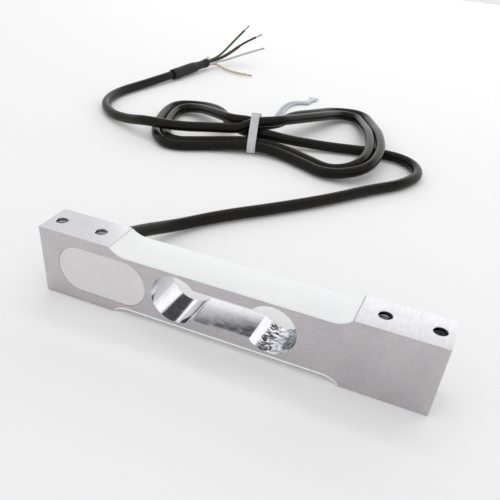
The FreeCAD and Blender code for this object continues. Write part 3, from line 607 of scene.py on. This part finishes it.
# The hank's two lobes down the middle of their strand pairs, away from the waist and back.
left_lobe = [
    lay(-29.0, 159.5, 6.4), lay(-45.5, 172.5, 2.4), lay(-61.0, 171.0, 0.2), lay(-57.0, 149.5),
    lay(-47.8, 127.4), lay(-36.5, 119.5), lay(-22.5, 128.5, 0.2),
]
right_lobe = [
    lay(17.5, 139.0, 0.6), lay(30.0, 134.5), lay(45.5, 126.5, 0.5), lay(60.0, 132.0, 4.1),
    lay(61.0, 153.0, 5.5), lay(54.5, 176.0, 5.4), lay(46.5, 197.0, 1.9), lay(37.0, 216.0, 0.5),
    lay(24.0, 210.0, 1.6), lay(18.5, 190.0, 4.9), lay(11.5, 172.0, 7.4),
]
tail_route = [
    lay(-37.0, 128.5, 5.9), lay(-56.0, 127.0, 5.9), lay(-70.5, 133.0, 1.9), lay(-85.5, 139.5),
    lay(-99.0, 153.0), lay(-103.5, 173.0), lay(-98.6, 195.5), lay(-92.2, 221.5, 0.9),
    lay(-87.7, 246.2, 1.3),
]


def beside(route, gap):
    """A strand that runs beside a lobe's middle line, outside it or, with a minus, inside it."""
    out = []
    for i, point in enumerate(route):
        before = route[max(i - 1, 0)]
        after = route[min(i + 1, len(route) - 1)]
        into = Vector((point.x - before.x, point.y - before.y, 0)).normalized() if i else None
        away = (Vector((after.x - point.x, after.y - point.y, 0)).normalized()
                if i < len(route) - 1 else into)
        into = into or away
        heading = (into + away).normalized()
        reach = gap * MM / max(0.5, heading.dot(into))
        out.append(point + Vector((heading.y, -heading.x, 0)) * reach)
    return out


HALF_PAIR = 2.6
inner_left = beside(left_lobe, -HALF_PAIR)
outer_left = beside(left_lobe, HALF_PAIR)
inner_right = beside(right_lobe, -HALF_PAIR)
outer_right = beside(right_lobe, HALF_PAIR)
# Under the tie the three upper strands turn a third of the way round each other.
cable_route = (
    lead_route
    + [waist(14.0, 10.7, 5.4), waist(8.0, 9.8, 6.9), waist(2.0, 11.1, 6.5), waist(-3.5, 14.2, 5.6),
       waist(-8.5, 17.4, 5.7), waist(-14.5, 22.8, 6.2)]
    + outer_left
    + [waist(-13.5, -0.7, 3.3), waist(-5.0, 0.0, 4.0), waist(5.0, 0.0, 4.0)]
    + outer_right
    + [waist(13.5, 25.6, 8.5), waist(8.0, 20.5, 8.5), waist(3.0, 18.0, 8.5), waist(-3.8, 16.4, 10.9),
       waist(-8.5, 15.0, 11.3), waist(-14.0, 16.8, 11.0)]
    + inner_left
    + [waist(-13.5, 4.5, 3.3), waist(-5.0, 5.15, 4.0), waist(5.0, 5.15, 4.0)]
    + inner_right
    + [waist(13.5, 18.4, 11.9), waist(8.0, 15.0, 11.9), waist(3.0, 13.2, 12.0), waist(-3.8, 10.9, 10.5),
       waist(-8.5, 8.6, 8.8), waist(-20.5, 7.2, 8.9)]
    + tail_route
)


def round_line(name, points, thickness):
    """A capped round cord along one smooth line."""
    data = new_curve(name)
    add_spline(data, points)
    data.resolution_u = 10
    data.bevel_depth = thickness / 2
    data.bevel_resolution = 5
    data.use_fill_caps = True
    return placed(name, data)


cable = round_line("signal_cable", cable_route, CABLE)
hand_over(cable, JACKET, "cable_jacket", "cable_lead_in", "cable_hank", "cable_tail")

# ---------------------------------------------------------------- end sleeve and cores
END = tail_route[-1]
AXIS = (tail_route[-1] - tail_route[-2]).normalized()
SIDE = AXIS.cross(Vector((0, 0, 1))).normalized()
OVER = SIDE.cross(AXIS)
CORE_RING = CORE * 0.9
# The cores run straight this far past the jacket's end, and then fan out.
CORES_STRAIGHT = 10.4


def free(x, y, z):
    """A core's free point: from the foot of the exit, with its height from the surface."""
    return Vector((EXIT.x + x * MM, EXIT.y + y * MM, z * MM))


BUNDLE = free(-81.8, 267.3, 4.35)
FAN = {
    "green": (126, [free(-78.6, 271.8, 9.0), free(-74.0, 280.4, 16.0), free(-69.8, 288.2, 22.0)]),
    "black": (54, [free(-76.1, 274.1, 8.0), free(-71.1, 288.4, 13.2), free(-63.1, 294.3, 17.5)]),
    "red": (198, [free(-80.1, 275.0, 4.9), free(-76.4, 283.2, 7.6), free(-74.1, 291.1, 10.2)]),
    "white": (342, [free(-76.1, 273.0, 4.6), free(-66.9, 281.3, 8.2), free(-57.6, 286.0, 11.5)]),
    "shield": (270, [free(-76.4, 266.0, 1.2), free(-66.1, 260.9, 0.95), free(-55.6, 260.9, 0.95)]),
}
for shade, (degrees, loose) in FAN.items():
    turn = math.radians(degrees)
    seat = SIDE * (CORE_RING * math.cos(turn)) + OVER * (CORE_RING * math.sin(turn))
    points = [END + seat, END + AXIS * (CORES_STRAIGHT * MM) + seat, BUNDLE + seat * 1.2] + loose
    core = round_line("loose_core_" + shade, points, CORE)
    hand_over(core, CORES[shade], "core_" + shade, "core_" + shade)


STRIPPED = 5.1 * MM
TUCKED_IN = 0.3
STRAND_RADIUS = 0.13 * MM
STRAND_RING = 0.26 * MM
STRAND_TWIST = 3.6
STRAND_STEPS = 14


def bare_strands(name, start, heading):
    """Seven twisted strands that stand out of a stripped core, spread and uneven at the end."""
    data = new_curve(name)
    side = heading.cross(Vector((0, 0, 1))).normalized()
    over = side.cross(heading)
    for strand in range(7):
        ring = 0.0 if strand == 0 else STRAND_RING
        points = []
        for i in range(STRAND_STEPS + 1):
            t = i / STRAND_STEPS
            turn = strand * math.pi / 3 + t * STRAND_TWIST
            reach = ring * (1 + 0.5 * t * t)
            along = t * STRIPPED * (1.0 - 0.02 * (strand % 3))
            points.append(
                start + heading * along + side * (reach * math.cos(turn)) + over * (reach * math.sin(turn)))
        add_spline(data, points)
    data.resolution_u = 3
    data.bevel_depth = STRAND_RADIUS
    data.bevel_resolution = 1
    data.use_fill_caps = True
    return placed(name, data)


for shade, (_, loose) in FAN.items():
    heading = (loose[-1] - loose[-2]).normalized()
    tip = bare_strands("bare_strands_" + shade, loose[-1] - heading * TUCKED_IN * MM, heading)
    hand_over(tip, TINNED, "tinned_strand", "tip_" + shade)

# ---------------------------------------------------------------- shrink sleeve and filler
# Places along the cable's end and outside radii, in millimetres, from the grip to the mouth.
SLEEVE_PROFILE = (
    (-24.0, 2.95), (-23.7, 3.16), (-22.6, 3.22), (-18.0, 3.27), (-12.0, 3.2), (-6.0, 3.28), (-1.2, 3.24),
    (0.8, 3.05), (3.2, 2.72), (6.5, 2.5), (10.0, 2.42), (11.8, 2.8), (13.6, 2.95), (14.8, 2.6), (15.3, 2.35),
)


sleeve = turned("shrunk_end_sleeve", SLEEVE_PROFILE, END, AXIS)
refine = sleeve.modifiers.new("refine", "SUBSURF")
refine.levels = refine.render_levels = 2
apply_all(sleeve)
face_outwards(sleeve)
rumple(sleeve, 0.16, 3.4)
thicken(sleeve, 0.32)
smooth(sleeve, 50)
hand_over(sleeve, shrink_tubing(), "shrink_sleeve", "end_sleeve")

# The cut filler bulges out over the cores at the sleeve's mouth.
FILLER = END + AXIS * (16.1 * MM) + Vector((0, 0, 2.3 * MM)) - SIDE * (0.4 * MM)
clear_selection()
bpy.ops.mesh.primitive_uv_sphere_add(
    segments=24, ring_count=16, radius=1.75 * MM, location=FILLER, scale=(0.85, 1.1, 0.75))
filler = settle(bpy.context.object, "cotton_filler_end")
rumple(filler, 0.5, 1.1, 4.0)
smooth(filler, 60)
hand_over(filler, twisted_cotton(), "core_shield")

# ---------------------------------------------------------------- cable tie
TIE_HALF = 2.1
TIE_OUT, TIE_IN = 1.2, 0.12
# The strands that the band lies on, across the waist and up.
TIE_SEATS = ((0.0, 4.0), (5.15, 4.0), (12.2, 6.2), (17.0, 8.9), (12.3, 11.7))


def belt(grow, half):
    """The solid that a taut belt round the strands would enclose."""
    return wrapped([
        rod(waist(-half, v, z), waist(half, v, z), (CABLE_MM / 2 + grow) * MM, 56) for v, z in TIE_SEATS])


band = belt(TIE_OUT, TIE_HALF)
band.name = "tie_band"
carve(band, belt(TIE_IN, TIE_HALF + 1))
finish_surface(band, 0.22 * MM, 3)


def slab(x, y, z):
    """A box round the origin, from its half sizes in millimetres."""
    return block((-x * MM, -y * MM, -z * MM), (x * MM, y * MM, z * MM))


# The head is a box with rounded long edges, a slot for the strap and the pawl in it.
HEAD_V, HEAD_Z = 21.2, 10.6
HEAD_LEAN = -24
head = slab(2.7, 2.1, 2.7)
bevel_edges(head, lambda a, b: abs(a.x - b.x) < 1e-6, 0.7 * MM, 4)
carve(head, slab(1.95, 0.75, 4))
pawl = block((-1.5 * MM, 0.1 * MM, -1.6 * MM), (1.5 * MM, 0.8 * MM, 1.9 * MM))
bevel_edges(pawl, lambda a, b: a.y < 0.2 * MM and b.y < 0.2 * MM, 0.3 * MM, 2)
joined([head, pawl])
head.data.transform(
    Matrix.Translation(waist(0.0, HEAD_V, HEAD_Z))
    @ Matrix.Rotation(math.atan2(ALONG.y, ALONG.x), 4, "Z")
    @ Matrix.Rotation(math.radians(HEAD_LEAN), 4, "X"))
finish_surface(head, 0.18 * MM, 2)

# The strap's loose tail: down from the head, and then flat at this height.
TIE_DOWN = 0.925
tail_points = [
    waist(0.0, 21.4, 12.4), waist(0.0, 22.4, 9.0), waist(0.2, 24.0, 5.4), waist(1.2, 29.0, 1.3),
    waist(4.6, 36.2, TIE_DOWN), waist(8.8, 50.2, TIE_DOWN), waist(11.2, 62.2, TIE_DOWN),
    waist(12.9, 73.2, TIE_DOWN), waist(16.2, 82.7, TIE_DOWN), waist(21.8, 88.0, TIE_DOWN),
    waist(27.4, 87.0, TIE_DOWN), waist(31.0, 98.7, TIE_DOWN),
]
rail_data = new_curve("tail_rail")
rail_data.twist_mode = "Z_UP"
rail_data.resolution_u = 16
rail_line = add_spline(rail_data, tail_points)
rail = placed("tail_rail", rail_data)
rail_length = rail_line.calc_length()

# The strap is made straight, toothed and tipped, and then bent along the tail's line.
STRAP_HALF, STRAP_THIN = 1.8 * MM, 0.5 * MM
STRAP_PARTS = 96
strap = block((0, -STRAP_HALF, -STRAP_THIN), (rail_length, STRAP_HALF, STRAP_THIN))
pick(strap)
bpy.ops.object.mode_set(mode="EDIT")
for cut in range(1, STRAP_PARTS):
    bpy.ops.mesh.select_all(action="SELECT")
    bpy.ops.mesh.bisect(plane_co=(rail_length * cut / STRAP_PARTS, 0, 0), plane_no=(1, 0, 0))
bpy.ops.object.mode_set(mode="OBJECT")
# The end flares into a barbed tip; just before it the strap is narrow.
NECK_LENGTH, BARB_LENGTH = 9.0, 5.6
for vertex in strap.data.vertices:
    left = (rail_length - vertex.co.x) / MM
    if left < NECK_LENGTH:
        vertex.co.y *= 0.72 + 0.21 * max(0.0, BARB_LENGTH - left)
        vertex.co.z *= 0.8
TOOTH_PITCH = 1.05
TOOTHED_FROM, BARE_IN_ALL = 18.0, 28.0
tooth = block((0, -1.15 * MM, 0.42 * MM), (0.62 * MM, 1.15 * MM, 0.68 * MM))
bevel_edges(tooth, lambda a, b: min(a.x, b.x, a.z, b.z) > 0.5 * MM, 0.22 * MM, 1)
tooth.data.transform(Matrix.Translation((TOOTHED_FROM * MM, 0, 0)))
rack = tooth.modifiers.new("rack", "ARRAY")
rack.use_relative_offset = False
rack.use_constant_offset = True
rack.constant_offset_displace = (TOOTH_PITCH * MM, 0, 0)
rack.count = int((rail_length / MM - BARE_IN_ALL) / TOOTH_PITCH)
apply_all(tooth)
finish_surface(strap, 0.2 * MM, 2, 50)
joined([strap, tooth])
follow = strap.modifiers.new("follow", "CURVE")
follow.object = rail
follow.deform_axis = "POS_X"
apply_all(strap)
bpy.data.objects.remove(rail)

joined([band, head, strap])
settle(band, "nylon_cable_tie")
smooth(band, 40)
hand_over(band, natural_nylon(), "nylon_tie", "cable_tie")

# ---------------------------------------------------------------- beam
MID_Z = (beam_low.z + beam_high.z) / 2
FACE = beam_low.y
RELIEF_FLOOR = 2.7 * MM
CUTTER = 8.0 * MM
RELIEF_HALF = 39.0 * MM
BORE_RADIUS = 8.3 * MM
BORE_X = 15.8 * MM
SLOT_HALF = 5.5 * MM
POCKET_LEFT, POCKET_RIGHT = -58.7 * MM, -26.4 * MM
POCKET_RADIUS = 8.05 * MM
POCKET_DEPTH = 4.4 * MM
HOLES = (-61.0 * MM, -46.0 * MM, 46.0 * MM, 61.0 * MM)
# A relief's cutter runs out in an arc at each end, and its floor is level between them.
RUN_OUT = math.sqrt(CUTTER ** 2 - (CUTTER - RELIEF_FLOOR) ** 2)
LEVEL = RELIEF_HALF - RUN_OUT
# Cutters run past the faces that they leave by: a little, or well past for the reliefs and the window.
PAST = 2 * MM
SWEEP, SWEEP_TALL = 12 * MM, 22 * MM
WINDOW_CUT, BORE_CUT = 20 * MM, 19 * MM


def relief(side):
    """The block that the relief's end mill sweeps, round at its lower corners."""
    half = LEVEL + CUTTER
    floor = BEAM.z / 2 - RELIEF_FLOOR
    body = block((-half, -SWEEP, floor), (half, SWEEP, floor + SWEEP_TALL))
    bevel_edges(body, lambda a, b: max(a.z, b.z) < floor + 1e-5 and abs(a.x - b.x) < 1e-6, CUTTER, 24)
    body.data.transform(Matrix.Translation((0, 0, MID_Z)) @ Matrix.Diagonal((1, 1, side, 1)))
    if side < 0:
        body.data.flip_normals()
    return body


beam = block(beam_low, beam_high)
beam.name = "milled_beam"
for side in (1, -1):
    carve(beam, relief(side))
window = block((-BORE_X, -WINDOW_CUT, MID_Z - SLOT_HALF), (BORE_X, WINDOW_CUT, MID_Z + SLOT_HALF))
for x in (-BORE_X, BORE_X):
    carve(window, rod((x, -BORE_CUT, MID_Z), (x, BORE_CUT, MID_Z), BORE_RADIUS, 128), "UNION")
carve(beam, window)


def stadium(front, back, radius):
    """A long round ended plug that fits the potted pocket."""
    centres = (POCKET_LEFT + POCKET_RADIUS, POCKET_RIGHT - POCKET_RADIUS)
    return wrapped([rod((x, front, MID_Z), (x, back, MID_Z), radius, 96) for x in centres])


carve(beam, stadium(FACE - PAST, FACE + POCKET_DEPTH, POCKET_RADIUS))
# The cable's hole runs from the pocket to the far side, and the leads' holes from it to the reliefs.
CABLE_HOLE = 2.7 * MM
LEAD_HOLE = 0.9 * MM
LEAD_X, LEAD_Y = -32.2 * MM, -3.6 * MM
LEAD_REACH = 14 * MM
carve(beam, rod(
    (EXIT.x, FACE + 3 * MM, EXIT_HEIGHT), (EXIT.x, beam_high.y + PAST, EXIT_HEIGHT), CABLE_HOLE, 64))
for side in (1, -1):
    rim = MID_Z + side * LEAD_REACH
    carve(beam, rod((LEAD_X, LEAD_Y, MID_Z), (LEAD_X, LEAD_Y, rim), LEAD_HOLE, 32))
# Each tapped hole is cut by one turned drill with a countersink at both ends, in millimetres.
THREAD_ROOT = 2.0
MOUTH = 2.2
FLARE = 0.3
TALL = BEAM.z / MM
DRILL_PROFILE = (
    (-FLARE, MOUTH + FLARE), (MOUTH - THREAD_ROOT, THREAD_ROOT),
    (TALL - MOUTH + THREAD_ROOT, THREAD_ROOT), (TALL + FLARE, MOUTH + FLARE))
for x in HOLES:
    drill = turned("drill", DRILL_PROFILE, Vector((x, 0, beam_low.z)), Vector((0, 0, 1)), 64)
    close_ends(drill)
    carve(beam, drill)
finish_surface(beam, 0.18 * MM, 2)

# An M4 thread: one turn of its ridge is swept up each hole.
PITCH = 0.7 * MM
TURNS = 31
# The ridge's section, in millimetres out from the hole's axis and up.
RIDGE = ((2.02, -0.33), (1.64, 0.0), (2.02, 0.33))
clear_selection()
bpy.ops.mesh.primitive_circle_add(vertices=3, radius=MM, location=(0, 0, 0))
ridge = bpy.context.object
for vertex, (out, up) in zip(ridge.data.vertices, RIDGE):
    vertex.co = (out * MM, 0, up * MM)
turn = ridge.modifiers.new("turn", "SCREW")
turn.angle = 2 * math.pi
turn.screw_offset = PITCH
turn.iterations = TURNS
turn.steps = turn.render_steps = 24
turn.use_merge_vertices = False
apply_all(ridge)
ridge.data.transform(Matrix.Translation((HOLES[0], 0, MID_Z - PITCH * TURNS / 2)))
threads = [ridge]
for x in HOLES[1:]:
    copy = ridge.copy()
    copy.data = ridge.data.copy()
    copy.data.transform(Matrix.Translation((x - HOLES[0], 0, 0)))
    bpy.context.scene.collection.objects.link(copy)
    threads.append(copy)
joined(threads)
close_ends(ridge)
settle(ridge, "tapped_threads")
hand_over(ridge, BORED, "machined_aluminium", "beam_body")

beam.data.materials.clear()
beam.data.materials.append(MILLED)
beam.data.materials.append(BORED)
beam.data.materials.append(fly_cut_aluminium_painted_light())
# The sides keep the milled surface. The mounting faces and the holes' mouths are fly cut and painted lighter,
# which is painted light, and what lies within these half sizes of the window, or in a hole, is bored.
WINDOW_HALF, WINDOW_TALL = 24.3 * MM, 8.45 * MM
for face in beam.data.polygons:
    middle = face.center
    rise = abs(middle.z - MID_Z)
    tilt = abs(face.normal.z)
    in_window = (
        abs(middle.x) < WINDOW_HALF and rise < WINDOW_TALL and abs(middle.y) < BEAM.y / 2 - 0.25 * MM)
    in_hole = tilt < 0.9 and any(
        Vector((middle.x - x, middle.y)).length < (MOUTH + 0.2) * MM for x in HOLES)
    on_mount = tilt > 0.95 and abs(rise - BEAM.z / 2) < 0.02 * MM
    if on_mount or (in_hole and tilt > 0.3):
        face.material_index = 2
    elif in_window or in_hole:
        face.material_index = 1
    else:
        face.material_index = 0
hand_over(beam, None, "machined_aluminium", "beam_body")

# ---------------------------------------------------------------- silicone coats, potting and cable seal
SILICONE = white_silicone()
COAT = 0.95 * MM
COAT_SIDE = 6.93 * MM
RAMP = CUTTER * math.asin(RUN_OUT / CUTTER)
RAMP_PARTS, LEVEL_PARTS = 18, 4
COAT_CUTS = (
    [LEVEL + RAMP * step / RAMP_PARTS for step in range(RAMP_PARTS)]
    + [LEVEL * step / LEVEL_PARTS for step in range(LEVEL_PARTS)])
# The coat stops a little short of a ramp's top, and has lost most of its thickness there.
RAMP_SHARE, THINNING = 0.93, 0.7
for side, word in ((1, "top"), (-1, "bottom")):
    half = LEVEL + RAMP * RAMP_SHARE
    layer = block((-half, -COAT_SIDE, 0.0), (half, COAT_SIDE, COAT))
    bevel_edges(layer, lambda a, b: min(a.z, b.z) > COAT * 0.9, 0.4 * MM, 5)
    pick(layer)
    bpy.ops.object.mode_set(mode="EDIT")
    for cut in sorted(set(COAT_CUTS) | {-place for place in COAT_CUTS}):
        bpy.ops.mesh.select_all(action="SELECT")
        bpy.ops.mesh.bisect(plane_co=(cut, 0, 0), plane_no=(1, 0, 0))
    bpy.ops.object.mode_set(mode="OBJECT")
    # The level strip is laid along the relief, up its two ramps, and thins out at their tops.
    for vertex in layer.data.vertices:
        along, rise = vertex.co.x, vertex.co.z
        beyond = max(0.0, abs(along) - LEVEL)
        rise *= 1 - THINNING * (beyond / RAMP) ** 2
        lean = beyond / CUTTER
        vertex.co.x = math.copysign(min(abs(along), LEVEL) + (CUTTER - rise) * math.sin(lean), along)
        vertex.co.z = MID_Z + side * (BEAM.z / 2 - RELIEF_FLOOR + CUTTER - (CUTTER - rise) * math.cos(lean))
    layer.name = word + "_silicone_coat"
    face_outwards(layer)
    smooth(layer, 50)
    hand_over(layer, SILICONE, "white_sealant", word + "_sealant")

# The potting fills the pocket: it swells a little inside its edge and dips in its middle.
potting = stadium(FACE + 0.06 * MM, FACE + POCKET_DEPTH - 0.02 * MM, POCKET_RADIUS - 0.03 * MM)
potting.name = "pocket_potting"
pick(potting)
bpy.ops.object.mode_set(mode="EDIT")
bpy.ops.mesh.select_all(action="DESELECT")
bpy.ops.object.mode_set(mode="OBJECT")
for face in potting.data.polygons:
    face.select = face.normal.y < -0.9
bpy.ops.object.mode_set(mode="EDIT")
bpy.ops.mesh.select_mode(type="FACE")
bpy.ops.mesh.inset(thickness=0.55 * MM)
bpy.ops.transform.translate(value=(0, -0.05 * MM, 0))
bpy.ops.mesh.inset(thickness=1.6 * MM)
bpy.ops.transform.translate(value=(0, 0.1 * MM, 0))
bpy.ops.object.mode_set(mode="OBJECT")
finish_surface(potting, 0.12 * MM, 3)
hand_over(potting, pale_potting(), "potting", "side_potting")

# A low cone of silicone round the cable, a little tight on its jacket.
SEAL_FOOT, SEAL_TOP, SEAL_HOLE = 4.4 * MM, 3.0 * MM, 2.48 * MM
seal = rod(
    seal_low + Vector((SEAL_FOOT, 0, SEAL_FOOT)), (EXIT.x, seal_high.y, EXIT_HEIGHT), SEAL_FOOT, 56, SEAL_TOP)
seal.name = "cable_exit_seal"
bevel_edges(seal, lambda a, b: min(a.y, b.y) > seal_high.y - 1e-5, 0.45 * MM, 3)
carve(seal, rod(
    (EXIT.x, seal_low.y - MM, EXIT_HEIGHT), (EXIT.x, seal_high.y + MM, EXIT_HEIGHT), SEAL_HOLE, 56))
finish_surface(seal, 0.2 * MM, 3)
hand_over(seal, SILICONE, "white_sealant", "cable_seal")

# ---------------------------------------------------------------- pieces under the silicone
FOIL = polyimide_foil()
RIBBON = enamelled_ribbon()
LAMINATE = glass_epoxy_laminate()
LACQUER = resistor_lacquer()
for end in ("fixed", "load"):
    for face in ("top", "bottom"):
        dress_node("strain_gauge_%s_%s" % (face, end), FOIL)
for face in ("top", "bottom"):
    dress_node("gauge_leads_" + face, RIBBON)
dress_node("trim_board", LAMINATE)
for count in (1, 2, 3):
    dress_node("trim_resistor_%d" % count, LACQUER)
for shade in ("red", "green", "white", "black"):
    dress_node("inner_core_" + shade, CORES[shade])

# ---------------------------------------------------------------- floor, world and lamps
clear_selection()
bpy.ops.mesh.primitive_plane_add(size=40.0, location=(0, 0.5, -0.0002))
floor = bpy.context.object
floor.name = "studio_floor"
floor_material, _, floor_shader, _ = started("white_studio_floor")
set_on(floor_shader, Base_Color=colour("#fafafa"), Roughness=0.8)
floor.data.materials.append(floor_material)

# A plain bright room with one unlit strip behind, which gives the polished bores something dark to show.
world = bpy.data.worlds.new("soft_studio")
world.use_nodes = True
bpy.context.scene.world = world
room = world.node_tree
facing = add(room, "ShaderNodeSeparateXYZ", {0: add(room, "ShaderNodeTexCoord").outputs["Generated"]}).outputs
over = add(room, "ShaderNodeMapRange", {
    "Value": facing[2], "From Min": 0.585, "From Max": 0.605, "To Min": 0.0, "To Max": 1.0}).outputs[0]
under = add(room, "ShaderNodeMapRange", {
    "Value": facing[2], "From Min": 0.74, "From Max": 0.84, "To Min": 1.0, "To Max": 0.0}).outputs[0]
behind = add(room, "ShaderNodeMapRange", {
    "Value": facing[1], "From Min": 0.0, "From Max": 0.3, "To Min": 0.0, "To Max": 1.0}).outputs[0]
belt_high = add(room, "ShaderNodeMath", {0: over, 1: under}, operation="MULTIPLY").outputs[0]
unlit = add(room, "ShaderNodeMath", {0: belt_high, 1: behind}, operation="MULTIPLY").outputs[0]
low = add(room, "ShaderNodeMapRange", {
    "Value": facing[2], "From Min": 0.12, "From Max": 0.32, "To Min": 1.0, "To Max": 0.0}).outputs[0]
dim = add(room, "ShaderNodeMath", {0: low, 1: behind}, operation="MULTIPLY").outputs[0]
wall = add(room, "ShaderNodeMix", {0: dim, 6: colour("#f5f5f6"), 7: colour("#dadadc")},
           data_type="RGBA").outputs[2]
sky = add(room, "ShaderNodeMix", {0: unlit, 6: wall, 7: colour("#545458")}, data_type="RGBA").outputs[2]
room.links.new(sky, room.nodes["Background"].inputs["Color"])


def softbox(name, place, aim, size, watts):
    """A soft rectangular lamp that points from its place at its aim."""
    clear_selection()
    heading = (Vector(aim) - Vector(place)).to_track_quat("-Z", "Y")
    bpy.ops.object.light_add(type="AREA", location=place, rotation=heading.to_euler())
    lamp = bpy.context.object
    lamp.name = name
    lamp.data.shape = "RECTANGLE"
    lamp.data.size, lamp.data.size_y = size
    lamp.data.energy = watts


softbox("back_softbox", (0.24, 0.7, 0.275), (0.24, 0.0, 0.275), (1.5, 0.55), 1.5)
softbox("strip_softbox", (0.0, 0.45, 0.74), (0.0, 0.1, 0.0), (1.3, 0.12), 0.9)
bpy.context.scene.view_settings.view_transform = "Standard"
